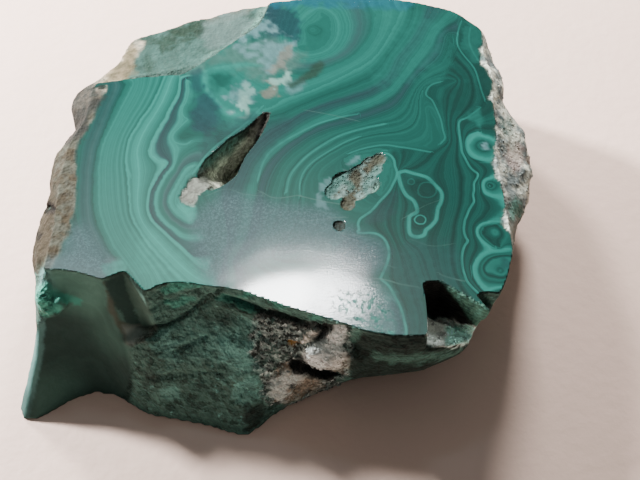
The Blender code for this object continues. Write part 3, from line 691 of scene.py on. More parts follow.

# Stains of the broken sides and the hollows, with painted shade in cracks and hollows and painted light on
# lit walls and edges, laid out as those of the face
SIDE_STAINS_AND_PAINTED_LIGHT = (
    ("frost", 0.5, 6, 10, (146, 48, 176, 44, 206, 50, 214, 58, 196, 66, 176, 74, 150, 76, 140, 64)),
    ("chip_dark", 0.8, 5, 8, (156, 44, 168, 32, 186, 22, 204, 18, 206, 28, 192, 36, 178, 44, 164, 48)),
    ("chip_dark", 0.6, 3, 3, (142, 56, 150, 54, 152, 68, 146, 72)),
    ("tan_light", 0.8, 4, 4, (98, 88, 112, 68, 128, 46, 136, 50, 132, 78, 112, 84)),
    ("cream", 0.6, 4, 4, (206, 14, 224, 10, 246, 6, 250, 12, 226, 22, 210, 24)),
    ("blue_grey", 0.6, 5, 4, (214, 4, 232, 2, 232, 10, 216, 14)),
    ("wall", 1.0, 4, 0, (46, 266, 84, 264, 104, 278, 106, 290, 112, 318, 124, 344, 132, 372, 128, 402,
        84, 404, 40, 424, 20, 430, 34, 340, 42, 316, 40, 300)),
    # Painted light on the smooth wall: paler near its top, middle and foot
    ("wall_painted_light", 0.62, 14, 0, (46, 262, 84, 260, 104, 274, 108, 296, 92, 312, 66, 306, 52, 294)),
    ("wall_painted_light", 0.3, 16, 0, (92, 306, 104, 296, 118, 322, 128, 350, 112, 352, 96, 334)),
    ("wall_painted_light", 0.22, 14, 0, (34, 384, 60, 372, 84, 386, 60, 412, 30, 424)),
    # Painted light on the narrow left facet, which faces the light
    ("lit_edge", 1.0, 1.5, 1, (40, 268, 50, 270, 56, 290, 46, 318, 42, 360, 33, 400, 26, 424, 10, 424,
        24, 370, 40, 318, 38, 300)),
    # Painted light near the top of the smooth wall
    ("wall_painted_light", 0.5, 4, 2, (46, 272, 60, 274, 62, 292, 50, 292)),
    ("wall", 0.6, 8, 0, (6, 392, 32, 392, 34, 428, 6, 430)),
    ("bright_green_and_lit_edge", 0.95, 2, 3, (37, 286, 50, 284, 56, 292, 80, 298, 78, 304, 58, 302, 62, 308, 46, 316,
        38, 306)),
    ("wall", 0.95, 1.5, 3, (104, 280, 122, 271, 128, 288, 136, 308, 142, 322, 130, 326, 116, 310,
        108, 296)),
    ("facet", 1.0, 1.5, 1, (124, 271, 130, 276, 142, 294, 150, 310, 155, 325, 143, 325, 134, 306,
        127, 288)),
    ("brown", 0.95, 2, 2, (104, 282, 110, 296, 118, 312, 128, 325, 143, 326, 156, 327, 150, 338, 128, 346,
        120, 334, 110, 314)),
    ("shard", 0.9, 3, 3, (148, 294, 166, 284, 182, 280, 206, 286, 222, 290, 206, 298, 186, 314, 160, 326,
        152, 316)),
    # Bright green ledges under the rim, partly painted light on their tops
    ("bright_green_and_lit_edge", 0.8, 2, 3, (160, 290, 176, 282, 194, 283, 200, 287, 180, 289, 168, 294)),
    ("bright_green_and_lit_edge", 0.6, 2, 3, (166, 302, 184, 296, 196, 297, 184, 304, 170, 308)),
    # Painted shade in the crack that runs up to the rim
    ("painted_shade", 0.8, 0.8, 1.2, (140, 327, 158, 326, 176, 320, 192, 310, 206, 299, 224, 289, 225, 290,
        207, 301, 193, 312, 177, 322, 158, 328)),
    ("matrix", 0.55, 4, 2, (122, 326, 144, 329, 150, 333, 138, 341, 127, 344)),
    ("dust", 0.22, 9, 8, (176, 324, 204, 318, 236, 324, 236, 350, 212, 362, 184, 356)),
    ("shard", 0.9, 2, 2, (222, 286, 262, 286, 300, 302, 352, 318, 352, 328, 300, 322, 262, 312, 226, 296)),
    # Bright green ledge edges under the rim, partly painted light
    ("bright_green_and_lit_edge", 0.8, 1.5, 3, (238, 296, 256, 289, 268, 289, 262, 294, 246, 298)),
    ("bright_green_and_lit_edge", 0.7, 1.5, 2, (268, 302, 290, 299, 296, 304, 280, 308)),
    ("bright_green_and_lit_edge", 0.6, 1.5, 2, (306, 316, 322, 311, 328, 316, 314, 320)),
    # Painted shadow under the rim
    ("painted_shade", 0.85, 1.5, 2, (222, 293, 240, 299, 258, 306, 276, 311, 300, 320, 328, 324, 352, 326, 350, 331,
        322, 330, 296, 327, 270, 317, 250, 313, 236, 306)),
    # Painted highlight along the block's top edge, over its own bright green
    ("bright_green_and_lit_edge", 0.5, 1.0, 2, (212, 297, 224, 293, 236, 298, 248, 304, 259, 311, 257, 314, 244, 308,
        230, 301, 218, 300)),
    ("dust", 0.28, 3, 10, (212, 334, 232, 330, 246, 318, 256, 330, 254, 356, 262, 376, 244, 384, 226, 372,
        222, 354, 208, 346)),
    ("dust", 0.46, 1.5, 8, (220, 342, 238, 338, 252, 344, 250, 366, 240, 372, 230, 360)),
    ("dust", 0.35, 1.5, 8, (236, 376, 252, 380, 262, 392, 256, 404, 240, 404, 232, 394)),
    ("dust", 0.3, 1.5, 5, (158, 388, 172, 386, 178, 398, 164, 402)),
    ("dust", 0.3, 2, 8, (152, 340, 168, 334, 180, 352, 170, 366, 156, 358)),
    # Painted shade in hollows of the front
    ("painted_shade", 0.6, 5, 6, (140, 372, 158, 374, 160, 384, 146, 386)),
    ("painted_shade", 0.7, 3, 4, (244, 408, 262, 402, 262, 420, 250, 432, 244, 424)),
    ("painted_shade", 0.3, 4, 6, (200, 316, 226, 312, 238, 324, 220, 332, 204, 328)),
    ("matrix_pale", 0.7, 2, 4, (268, 382, 284, 374, 296, 368, 306, 376, 292, 386, 284, 400, 274, 398)),
    ("tan", 0.45, 3, 4, (296, 388, 300, 376, 322, 378, 320, 388, 300, 398, 284, 402)),
    ("ochre_bright", 0.7, 1, 1, (289, 342, 299, 341, 302, 343, 296, 346, 289, 345)),
    ("chunk", 0.95, 2, 3, (306, 352, 318, 342, 328, 334, 338, 326, 346, 330, 344, 342, 346, 356, 336, 368,
        318, 368, 306, 362)),
    ("tan", 0.35, 3, 3, (330, 358, 346, 352, 350, 368, 338, 376, 326, 370)),
    ("chip_white", 1.0, 1, 0.5, (301, 340, 306, 334, 319, 329, 318, 335, 313, 341, 303, 343)),
    # Painted shade in the slot of the matrix
    ("painted_shade", 0.98, 1.5, 1.5, (290, 360, 300, 358, 306, 364, 320, 370, 338, 373, 341, 378, 326, 381,
        308, 374, 292, 372)),
    # Painted shade in a cranny of the matrix
    ("painted_shade", 0.8, 2, 2, (318, 326, 330, 326, 326, 336, 318, 342, 314, 340)),
    ("wall_right", 0.95, 3, 3, (352, 330, 400, 336, 430, 338, 470, 345, 478, 352, 430, 372, 380, 378,
        352, 380)),
    # Painted light on the right wall
    ("wall_painted_light", 0.5, 3, 3, (372, 352, 400, 356, 440, 352, 462, 350, 440, 360, 400, 364, 376, 360)),
    ("wall_painted_light", 0.5, 2, 2, (350, 326, 362, 322, 360, 336, 352, 342)),
    ("notch", 0.95, 2, 2, (436, 280, 470, 288, 494, 304, 492, 320, 480, 334, 466, 318, 452, 300)),
    # Painted shade inside the notch
    ("painted_shade", 0.7, 1.5, 1, (456, 300, 466, 314, 478, 330, 470, 332, 458, 316, 450, 302)),
    ("painted_shade", 1.0, 2, 1, (416, 280, 440, 280, 448, 290, 458, 303, 466, 316, 474, 328, 460, 325, 444, 319,
        432, 317, 424, 308)),
    ("ledge", 1.0, 1, 2, (426, 319, 444, 318, 460, 324, 476, 326, 474, 340, 456, 348, 432, 346, 426, 336)),
    ("ledge_green", 0.7, 3, 4, (448, 328, 472, 326, 472, 340, 454, 346, 444, 342)),
    ("tan", 0.35, 2, 3, (430, 320, 442, 320, 444, 332, 432, 336)),
    ("rind_dark", 0.9, 3, 4, (58, 144, 62, 112, 68, 94, 84, 84, 106, 82, 102, 98, 94, 112, 88, 128,
        80, 146)),
    ("hoar", 0.75, 5, 6, (204, 24, 222, 13, 246, 12, 252, 24, 240, 40, 222, 48, 206, 44)),
    # Painted shade in the fissure's far end
    ("painted_shade", 0.95, 1, 1, (264, 110, 272, 103, 273, 112, 266, 128, 258, 136, 258, 128)),
    ("rind_shade", 0.85, 4, 4, (500, 200, 520, 194, 524, 238, 512, 248, 498, 222)),
    ("lit_hollow", 0.8, 2.5, 3, (262, 116, 268, 118, 252, 146, 238, 164, 226, 180, 214, 184, 222, 168,
        242, 144)),
    # Painted shade along the fissure's edge
    ("pit_shade", 0.9, 1.2, 0.5, (266, 106, 274, 104, 275, 114, 269, 128, 259, 142, 251, 156, 241, 170, 235, 172,
        245, 154, 257, 134)),
    # Painted shade in the small vug
    ("pit_shade", 0.8, 1.5, 1, (331, 218, 346, 215, 347, 228, 340, 237, 331, 236)),
    ("rim_green", 0.95, 1.2, 0.5, (438, 275, 452, 280, 466, 285, 479, 289, 487, 298, 494, 308, 489, 312,
        480, 301, 474, 296, 460, 291, 446, 286, 438, 282)),
    ("rim_green", 0.9, 1.2, 0.5, (123, 269, 130, 271, 139, 281, 147, 293, 143, 296, 134, 286, 126, 276)),
    ("vug_green", 0.75, 3, 3, (318, 192, 330, 180, 342, 176, 348, 168, 358, 162, 350, 178, 342, 190,
        330, 200, 320, 200)),
    ("vug_green", 0.6, 2, 2, (376, 154, 390, 150, 386, 168, 376, 184, 366, 196, 362, 190, 372, 172)),
    ("lining_dark", 0.9, 1.5, 1.5, (349, 177, 356, 172, 361, 180, 360, 190, 353, 193, 348, 185)),
    ("lining_dark", 0.9, 1.5, 2, (364, 170, 370, 161, 381, 155, 384, 161, 376, 170, 368, 176)),
    ("lining_dark", 0.9, 1.5, 2, (340, 206, 345, 199, 352, 197, 355, 204, 348, 211, 341, 211)),
    ("frost", 0.8, 1.5, 4, (326, 186, 338, 182, 350, 184, 352, 190, 340, 190, 328, 194)),
    ("ochre", 0.9, 4, 4, (30, 186, 50, 180, 56, 200, 52, 232, 44, 262, 34, 262, 28, 230)),
    # Painted shade in the pits of the left rind
    ("pit_shade", 0.95, 2, 2, (45, 202, 52, 202, 53, 212, 46, 213)),
    ("pit_shade", 0.9, 2, 2, (52, 206, 58, 206, 58, 214, 52, 214)),
    ("pit_shade", 0.8, 2, 2, (34, 232, 40, 230, 42, 240, 36, 242)),
    ("teal", 0.5, 3, 4, (500, 120, 512, 118, 514, 134, 504, 138)),
    ("rose", 0.6, 4, 4, (506, 150, 520, 146, 524, 164, 512, 172)),
    ("slate_pale", 0.6, 4, 4, (498, 196, 516, 192, 518, 212, 504, 222)),
    ("bright_green_and_lit_edge", 0.5, 3, 4, (508, 206, 520, 200, 520, 214, 512, 218)),
)

# Creases of the broken front: depth in millimetres, half width in pixels, line
CREASES = (
    (0.35, 2.2, (138, 328, 156, 326, 168, 324, 180, 318, 194, 308, 206, 297, 222, 289)),
    (0.4, 2.6, (222, 294, 240, 300, 258, 308, 276, 313, 300, 321, 328, 326, 350, 328)),
    (0.3, 3.0, (150, 310, 168, 300, 188, 292, 206, 288)),
    (0.3, 3.0, (232, 290, 250, 295, 268, 299, 290, 305)),
    (0.9, 6.0, (294, 364, 306, 368, 322, 374, 338, 376)),
    (0.6, 4.0, (316, 326, 326, 330, 320, 338)),
    (0.5, 4.0, (284, 342, 296, 344, 304, 348)),
    (0.3, 3.0, (372, 348, 400, 352, 430, 350, 462, 346)),
    (0.25, 3.0, (380, 362, 410, 364, 440, 358)),
    (0.3, 4.0, (176, 352, 190, 344, 206, 336)),
    (0.3, 4.0, (150, 380, 170, 376, 196, 372, 222, 374)),
    (0.35, 4.0, (232, 404, 240, 396, 244, 384)),
    (0.5, 3.0, (46, 207, 52, 208, 57, 210)),
)

# Lumps of the broken front: height in millimetres, soft edge in pixels, outline
LUMPS = (
    (0.35, 4.0, (212, 297, 226, 293, 240, 300, 256, 309, 252, 318, 236, 312, 220, 306)),
    (0.45, 5.0, (308, 352, 320, 342, 332, 332, 342, 330, 344, 346, 338, 362, 318, 366, 308, 360)),
    (0.4, 3.0, (301, 338, 312, 332, 319, 330, 317, 337, 310, 343, 302, 343)),
    (0.35, 5.0, (268, 384, 284, 376, 298, 370, 306, 378, 292, 388, 284, 400, 274, 396)),
    (0.4, 4.0, (38, 288, 50, 285, 62, 296, 58, 306, 44, 312, 38, 304)),
    (0.3, 4.0, (160, 292, 178, 284, 196, 285, 188, 294, 170, 300)),
    (0.25, 4.0, (216, 342, 236, 338, 250, 350, 244, 368, 228, 366)),
)

# Outlines, in pixels, of the hollows and of other parts that a mask of their own marks
CHIP_OUTLINE = (100, 84, 128, 40, 170, 20, 220, -6, 268, -8, 262, 10, 244, 38, 222, 52, 200, 62, 186, 77)
RAW_OUTLINE = (181, 194, 184, 185, 192, 177, 203, 174, 209, 180, 206, 191, 200, 199, 198, 206, 188, 206,
               181, 202)
VUG_OUTLINE = (322, 190, 330, 180, 340, 174, 350, 168, 360, 160, 370, 154, 386, 152, 388, 160, 380, 176,
               372, 190, 362, 202, 350, 210, 340, 208, 328, 208)
FISSURE_OUTLINE = (192, 196, 196, 176, 205, 164, 222, 148, 245, 130, 264, 106, 274, 106, 270, 126, 256, 146,
                   246, 166, 232, 178, 212, 186, 204, 202, 196, 206)
SLEEK_OUTLINE = (10, 424, 36, 330, 56, 306, 50, 284, 46, 270, 84, 270, 104, 280, 124, 271, 144, 294, 155, 325,
                 130, 346, 132, 372, 126, 396, 60, 412, 24, 426)
WORN_OUTLINE = (334, 300, 346, 290, 366, 290, 384, 304, 394, 326, 386, 337, 352, 324, 338, 314)
LEDGE_OUTLINE = (428, 322, 444, 321, 458, 326, 474, 328, 473, 338, 456, 346, 434, 345, 428, 336)
SMALL_VUG_OUTLINE = (332, 222, 338, 216, 346, 216, 346, 226, 340, 236, 332, 236)

# The pixel of the fissure's near end, from which it slopes down
FISSURE_END = (196, 192)


class Wire:
    """An output socket of a node tree. Sums on it add Math nodes, so a mask reads as it would in Python."""

    def __init__(self, paint, socket):
        self.paint = paint
        self.socket = socket

    def sum(self, operation, *others, clamp=False):
        """A Math node that starts from this socket."""
        values = dict(enumerate((self,) + others))
        return self.paint.node("ShaderNodeMath", {"operation": operation, "use_clamp": clamp}, values)

    def reflected(self, operation, other):
        """A Math node whose first value is the other one."""
        return self.paint.node("ShaderNodeMath", {"operation": operation}, {0: other, 1: self})

    def __add__(self, other):
        return self.sum("ADD", other)

    def __radd__(self, other):
        return self.reflected("ADD", other)

    def __sub__(self, other):
        return self.sum("SUBTRACT", other)

    def __rsub__(self, other):
        return self.reflected("SUBTRACT", other)

    def __mul__(self, other):
        return self.sum("MULTIPLY", other)

    def __rmul__(self, other):
        return self.reflected("MULTIPLY", other)

    def __truediv__(self, other):
        return self.sum("DIVIDE", other)

    def __rtruediv__(self, other):
        return self.reflected("DIVIDE", other)

    def __abs__(self):
        return self.sum("ABSOLUTE")

    def within(self):
        """The value held between 0 and 1."""
        return self.sum("ADD", 0.0, clamp=True)

    def above(self, low, high):
        """0 below low and 1 above high, with a smooth rise between them; high may be the smaller."""
        settings = {"interpolation_type": "SMOOTHSTEP"}
        return self.paint.node("ShaderNodeMapRange", settings, {0: self, 1: low, 2: high, 3: 0.0, 4: 1.0})


class Nodes:
    """A tree of nodes, and the one way in which nodes are made in it."""

    def __init__(self, tree):
        self.tree = tree

    def node(self, kind, settings=None, values=None, output=0):
        """A node of a kind: its settings and a ramp's stops first, then its sockets' values or links."""
        made = self.tree.nodes.new(kind)
        for name, value in (settings or {}).items():
            if name == "stops":
                self.set_stops(made.color_ramp, value)
            else:
                setattr(made, name, value)
        for place, value in (values or {}).items():
            if isinstance(value, Wire):
                self.tree.links.new(value.socket, made.inputs[place])
            else:
                made.inputs[place].default_value = value
        return Wire(self, made.outputs[output])

    def vectors(self, operation, values, output="Vector"):
        """A Vector Math node."""
        return self.node("ShaderNodeVectorMath", {"operation": operation}, values, output)

    @staticmethod
    def set_stops(ramp, stops):
        """Gives a colour ramp its stops, each a position and a colour."""
        while len(ramp.elements) < len(stops):
            ramp.elements.new(1.0)
        for element, (position, colour) in zip(ramp.elements, stops):
            element.position = position
            element.color = (*colour, 1.0)


class Paint(Nodes):
    """A material of the slab and its nodes."""

    def __init__(self, name):
        self.material = bpy.data.materials.new(name)
        self.material.use_nodes = True
        super().__init__(self.material.node_tree)
        self.shader = self.tree.nodes["Principled BSDF"]
        self.place = self.node("ShaderNodeTexCoord", output="Object")

    def attribute(self, name, output="Fac"):
        """What is kept on the mesh's points under a name: a number, or a colour and its alpha."""
        return self.node("ShaderNodeAttribute", {"attribute_name": name}, output=output)

    def noise(self, size, detail, rough=0.5, output="Fac"):
        """Cloudy noise from 0 to 1 whose blotches have a size in metres."""
        values = {"Vector": self.place, "Scale": 1.0 / size, "Detail": detail, "Roughness": rough}
        return self.node("ShaderNodeTexNoise", values=values, output=output)

    def bent(self, reach):
        """The place moved about by cloudy noise, so that a pattern on it loses its even look."""
        cloud = self.noise(0.0015, 3.0, output="Color")
        return self.vectors("MULTIPLY_ADD", {0: cloud, 1: (reach, reach, reach), 2: self.place})

    def layers(self, level, fineness, detail):
        """Noise along the growth level alone, so it makes fine parallel layers."""
        settings = {"noise_dimensions": "1D"}
        return self.node("ShaderNodeTexNoise", settings, {"W": level, "Scale": fineness, "Detail": detail})

    def grains(self, size, output="Distance", place=None):
        """Cells of a size in metres, by the distance to their middles or by a colour for each."""
        values = {"Vector": place or self.place, "Scale": 1.0 / size}
        return self.node("ShaderNodeTexVoronoi", values=values, output=output)

    def mix(self, share, first, second):
        """The first colour, and the second where the share is 1."""
        values = {0: share, 6: self.colour(first), 7: self.colour(second)}
        return self.node("ShaderNodeMix", {"data_type": "RGBA"}, values, output=2)

    @staticmethod
    def colour(value):
        """A colour as a socket takes it."""
        return value if isinstance(value, Wire) else (*tuple(value)[:3], 1.0)

    def brighten(self, colour, factor):
        """The colour times a number."""
        vector = colour if isinstance(colour, Wire) else tuple(colour)[:3]
        return self.vectors("SCALE", {0: vector, "Scale": factor})

    def stained_and_lit(self, colour, tone):
        """The colour with the stains and the painted light and shade kept on the mesh laid over it, their own
        colour times a tone.
        """
        under = self.brighten(colour, 1 - self.attribute("stain", "Alpha"))
        over = self.brighten(self.attribute("stain", "Color"), tone)
        return self.vectors("ADD", {0: under, 1: over})

    def part(self, vector, axis):
        """One part of a vector or colour: X, Y or Z."""
        return self.node("ShaderNodeSeparateXYZ", values={0: vector}, output=axis)

    def bands(self, level, top, stops, look):
        """The colour of each growth level, from the stops' levels up to the top level."""
        marks = [(place / top, getattr(look, name)) for place, name in stops]
        return self.node("ShaderNodeValToRGB", {"stops": marks}, {0: level / top}, output="Color")

    def distance_to(self, pixel):
        """How far the surface is, seen from above, from the face's spot at a pixel, in metres."""
        x, y = on_face(pixel)[0]
        flat = self.vectors("MULTIPLY", {0: self.place, 1: (1, 1, 0)})
        return self.vectors("DISTANCE", {0: flat, 1: (x, y, 0.0)}, "Value")

    def bump(self, height, strength, distance):
        """A Bump node for a height."""
        values = {"Strength": strength, "Distance": distance, "Height": height}
        return self.node("ShaderNodeBump", values=values)

    def blend_shaders(self, share, other):
        """The other shader, and the material's first one where the share is 1."""
        own = Wire(self, self.shader.outputs[0])
        blend = self.node("ShaderNodeMixShader", values={0: share, 1: other, 2: own})
        self.tree.links.new(blend.socket, self.tree.nodes["Material Output"].inputs["Surface"])
        return self.material

    def finish(self, shader=None, **inputs):
        """Sets or links the sockets of another shader or else of the material's first one, by name, with
        spaces for underscores."""
        node = shader.socket.node if shader else self.shader
        for name, value in inputs.items():
            socket = node.inputs[name.replace("_", " ")]
            if isinstance(value, Wire):
                self.tree.links.new(value.socket, socket)
            else:
                socket.default_value = value
        return self.material


def colour_setting(name, description, value):
    """A colour that a user can change."""
    return bpy.props.FloatVectorProperty(name=name, description=description, default=value, size=3,
                                         subtype="COLOR", min=0.0, max=1.0)


def length_setting(name, description, value):
    """A length in metres that a user can change."""
    return bpy.props.FloatProperty(name=name, description=description, default=value, min=0.0,
                                   subtype="DISTANCE", unit="LENGTH", precision=5)


def share_setting(name, description, value, top=1.0):
    """A plain number that a user can change."""
    return bpy.props.FloatProperty(name=name, description=description, default=value, min=0.0, max=top,
                                   subtype="FACTOR")


class StoneSettings(bpy.types.PropertyGroup):
    """Sizes and colours of the stone."""

    mesh_step: length_setting("Mesh step", "Side of a cell of the stone's even mesh", 0.00033)
    broken_height: length_setting("Broken relief", "Height of the relief on broken malachite", 0.00016)
    grain_height: length_setting("Grain relief", "Height of the relief on the grainy matrix", 0.00032)
    rind_height: length_setting("Rind relief", "Height of the relief on the rind", 0.0003)
    night: colour_setting("Night green", "Darkest malachite", (0.0036, 0.021, 0.018))
    deep: colour_setting("Deep green", "Dark growth bands", (0.004, 0.036, 0.03))
    sea: colour_setting("Sea green", "Middle growth bands", (0.0052, 0.048, 0.0395))
    teal: colour_setting("Teal", "Light growth bands", (0.0075, 0.07, 0.058))
    light: colour_setting("Light teal", "Bright growth bands and thin lines", (0.011, 0.108, 0.09))
    mint: colour_setting("Mint", "Brightest growth band", (0.017, 0.155, 0.128))
    # Slate, haze and dusk are partly the stone's own colour and partly painted sheen of its fibrous bands
    slate: colour_setting("Slate", "Greyish growth bands", (0.007, 0.033, 0.032))
    haze: colour_setting("Haze", "Paler greyish growth bands", (0.013, 0.043, 0.0425))
    # Painted sheen: the silvery purple reflection of the dull polish, laid into its colour
    painted_sheen: colour_setting("Velvet", "Silvery purple bloom of the dull polish", (0.021, 0.043, 0.052))
    dusk: colour_setting("Dusk", "Dark purplish growth bands", (0.008, 0.0255, 0.028))
    indigo: colour_setting("Indigo", "Dark bluish blots", (0.007, 0.022, 0.03))
    # Painted reflection of the bluish sky on the far rim
    blue: colour_setting("Blue", "Bluish far rim", (0.007, 0.058, 0.086))
    frost: colour_setting("Frost", "Pale greyish green", (0.033, 0.082, 0.072))
    cloud: colour_setting("Cloud", "Bluish white blots", (0.062, 0.135, 0.148))
    cream: colour_setting("Cream", "Cream grey slivers", (0.09, 0.095, 0.08))
    white: colour_setting("White", "Whitest grains and slivers", (0.11, 0.23, 0.205))
    olive: colour_setting("Olive", "Olive slit", (0.011, 0.028, 0.021))
    chip_dark: colour_setting("Dark chip", "Olive blots of the chipped corner", (0.01, 0.023, 0.015))
    tan_light: colour_setting("Light tan", "Tan rim of the chipped corner", (0.085, 0.07, 0.036))
    blue_grey: colour_setting("Blue grey", "Cool blots of the chipped corner", (0.05, 0.065, 0.085))
    # Most colours of the broken sides from here on are paler than the stone's own: painted light that makes
    # up for the shade the front lies in
    wall: colour_setting("Wall", "Smooth dark broken wall", (0.025, 0.06, 0.052))
    # Painted light: a paler copy of the wall's green
    wall_painted_light: colour_setting("Green wall", "Smooth broken wall, greener", (0.125, 0.31, 0.25))
    wall_right: colour_setting("Right wall", "Dark layered wall at the right", (0.0165, 0.034, 0.029))
    # Painted light of the narrow left facet
    lit_edge: colour_setting("Pale edge", "Narrow pale facet of the left edge", (0.086, 0.208, 0.196))
    # Bright green crust, and painted light on the tops of ledges
    bright_green_and_lit_edge: colour_setting("Verdigris", "Bright green crust", (0.07, 0.34, 0.26))
    dust: colour_setting("Dust", "Powdery teal on the front", (0.22, 0.56, 0.5))
    shard: colour_setting("Shard", "Dark shards under the rim", (0.09, 0.205, 0.172))
    facet: colour_setting("Facet", "Olive facet of the groove", (0.078, 0.15, 0.123))
    brown: colour_setting("Brown", "Floor of the groove", (0.068, 0.088, 0.068))
    # Painted shade of cracks and hollows
    painted_shade: colour_setting("Black", "Shaded cracks", (0.014, 0.018, 0.017))
    matrix: colour_setting("Matrix", "Grey grains of the matrix", (0.3, 0.4, 0.38))
    matrix_dark: colour_setting("Dark matrix", "Dark grains of the matrix", (0.045, 0.062, 0.058))
    matrix_pale: colour_setting("Pale matrix", "Whitish grains of the matrix", (0.8, 0.93, 0.9))
    chunk: colour_setting("Chunk", "Large pale grain of the matrix", (0.84, 0.94, 0.92))
    ledge: colour_setting("Ledge", "Crystals in the notch", (0.85, 1.0, 0.95))
    ledge_green: colour_setting("Green ledge", "Green crystals in the notch", (0.35, 1.0, 0.85))
    tan: colour_setting("Tan", "Tan crusts of the front", (0.43, 0.37, 0.28))
    ochre_bright: colour_setting("Bright ochre", "Small ochre grain", (0.5, 0.26, 0.05))
    ochre: colour_setting("Ochre", "Tan rind of the left side", (0.036, 0.03, 0.0185))
    # Painted shade in pits
    pit_shade: colour_setting("Pit", "Dark pits of the left rind and of the hollows", (0.006, 0.006, 0.005))
    vug_green: colour_setting("Vug green", "Green part of the vug", (0.03, 0.09, 0.082))
    rim_green: colour_setting("Rim green", "Fresh rims that the light catches", (0.011, 0.038, 0.031))
    # The darker left rind and paler right one are partly their own colours and partly painted light: the
    # right one lies in shade and is painted paler
    rind_left: colour_setting("Left rind", "Greenish grey rind of the left side", (0.06, 0.064, 0.049))
    rind_right: colour_setting("Right rind", "Pale grey rind of the right side", (0.64, 0.68, 0.58))
    rose: colour_setting("Rose", "Pinkish rind", (0.36, 0.27, 0.24))
    slate_pale: colour_setting("Pale slate", "Cool grey rind", (0.17, 0.21, 0.21))
    hollow: colour_setting("Hollow", "Darker walls of the hollows", (0.13, 0.145, 0.12))
    hollow_light: colour_setting("Light hollow", "Paler parts of the hollows", (0.26, 0.28, 0.235))
    raw: colour_setting("Raw end", "Grey slope at the fissure's end", (0.1, 0.11, 0.098))
    raw_pale: colour_setting("Pale raw end", "Palest part of that slope", (0.14, 0.16, 0.14))
    # Painted sheen of the near left rim
    rim_sheen: colour_setting("Silver", "Silvery strip of the near left rim", (0.04, 0.064, 0.07))
    rind_dark: colour_setting("Dark rind", "Brownish grey rind of the far left corner",
                              (0.015, 0.0172, 0.016))
    chip_green: colour_setting("Green chip", "Dark greyish green of the chipped corner",
                               (0.015, 0.033, 0.026))
    chip_white: colour_setting("White chip", "Small white chip of the matrix", (1.0, 1.0, 0.9))
    rind_shade: colour_setting("Shaded rind", "Greenish grey part of the right rind", (0.115, 0.135, 0.12))
    lit_hollow: colour_setting("Lit hollow", "Slope in the fissure that the light reaches", (0.3, 0.31, 0.27))
    hoar: colour_setting("Hoar", "Palest part of the chipped corner", (0.058, 0.1, 0.094))
    notch: colour_setting("Notch", "Far wall of the notch", (0.1, 0.26, 0.2))
    lining: colour_setting("Lining", "Pale grains that line the vug", (0.08, 0.13, 0.122))
    lining_dark: colour_setting("Dark lining", "Brown grains that line the vug", (0.033, 0.032, 0.021))
    polish: share_setting("Polish roughness", "Roughness of the polished face", 0.062)
    broken_roughness: share_setting("Broken roughness", "Roughness of the broken sides", 0.62)


class StudioSettings(bpy.types.PropertyGroup):
    """Floor and lights."""

    floor: colour_setting("Floor", "Colour of the floor", (0.80, 0.605, 0.525))
    floor_span: length_setting("Floor span", "Side of the square floor", 1.6)
    sky: share_setting("Sky", "Strength of the pale light from all round", 0.17, 5.0)
    window: share_setting("Window", "Power of the light that shows in the polished face", 0.30, 100.0)
    left: share_setting("Left light", "Power of the strong light from the left", 3.9, 100.0)
    near_left: share_setting("Second left light", "Power of the light from behind on the left", 1.8, 100.0)
    back: share_setting("Back light", "Power of the light from behind", 1.9, 100.0)
    glow: share_setting("Glow", "Extra strength of the sky that shows in the polish", 1.8, 5.0)


def merged_copy(node, name):
    """A copy of a CAD node's mesh as an object of its own, its loose corners merged."""
    mesh = node.data.copy()
    mesh.name = name
    shape = bmesh.new()
    shape.from_mesh(mesh)
    bmesh.ops.remove_doubles(shape, verts=shape.verts, dist=MERGE_DISTANCE)
    shape.to_mesh(mesh)
    shape.free()
    mesh.materials.clear()
    piece = bpy.data.objects.new(name, mesh)
    bpy.context.scene.collection.objects.link(piece)
    return piece


def applied(piece):
    """Puts the result of the piece's modifiers into its mesh."""
    graph = bpy.context.evaluated_depsgraph_get()
    mesh = bpy.data.meshes.new_from_object(piece.evaluated_get(graph))
    old = piece.data
    piece.modifiers.clear()
    piece.data = mesh
    bpy.data.meshes.remove(old)
    mesh.name = piece.name
    return mesh


def even_mesh(piece, step):
    """Rebuilds the piece's surface from even cells, with larger triangles on its flat underside. What lies
    within half a cell of the face or the underside is put level with it, and the next cell and a half
    below the face is stretched to meet it."""
    remesh = piece.modifiers.new("even_cells", "REMESH")
    remesh.mode = "VOXEL"
    remesh.voxel_size = step
    relax = piece.modifiers.new("no_steps", "SMOOTH")
    relax.factor = RELAX_SHARE
    relax.iterations = RELAX_TIMES
    mesh = applied(piece)
    points = get_points(mesh)
    depth = FACE_HEIGHT - points[:, 2]
    eased = np.interp(depth, (0.0, 0.5 * step, 2.0 * step), (0.0, 0.0, 2.0 * step))
    points[:, 2] = FACE_HEIGHT - np.where(depth < 2.0 * step, eased, depth)
    points[:, 2] = np.where(points[:, 2] < 0.5 * step, 0.0, points[:, 2])
    set_points(mesh, points)
    under = np.flatnonzero(points[:, 2] < 0.1 * step)
    group = piece.vertex_groups.new(name="underside")
    group.add([int(k) for k in under], 1.0, "REPLACE")
    thin = piece.modifiers.new("larger_underside", "DECIMATE")
    thin.ratio = 1.0 - THINNED_SHARE * len(under) / len(points)
    thin.vertex_group = "underside"
    thin.use_collapse_triangulate = True
    mesh = applied(piece)
    piece.vertex_groups.clear()
    return mesh


def within_pixels(outlines, pixels, soft):
    """1 inside any of the outlines in photo pixels, 0 outside, with an edge that is soft by some pixels."""
    share = np.zeros(len(pixels))
    for flat in outlines:
        outline = pairs(flat + flat[:2])
        gap, _ = edge_distance(outline, pixels)
        share = np.maximum(share, smooth(-soft, soft, np.where(inside(outline, pixels), gap, -gap)))
    return share


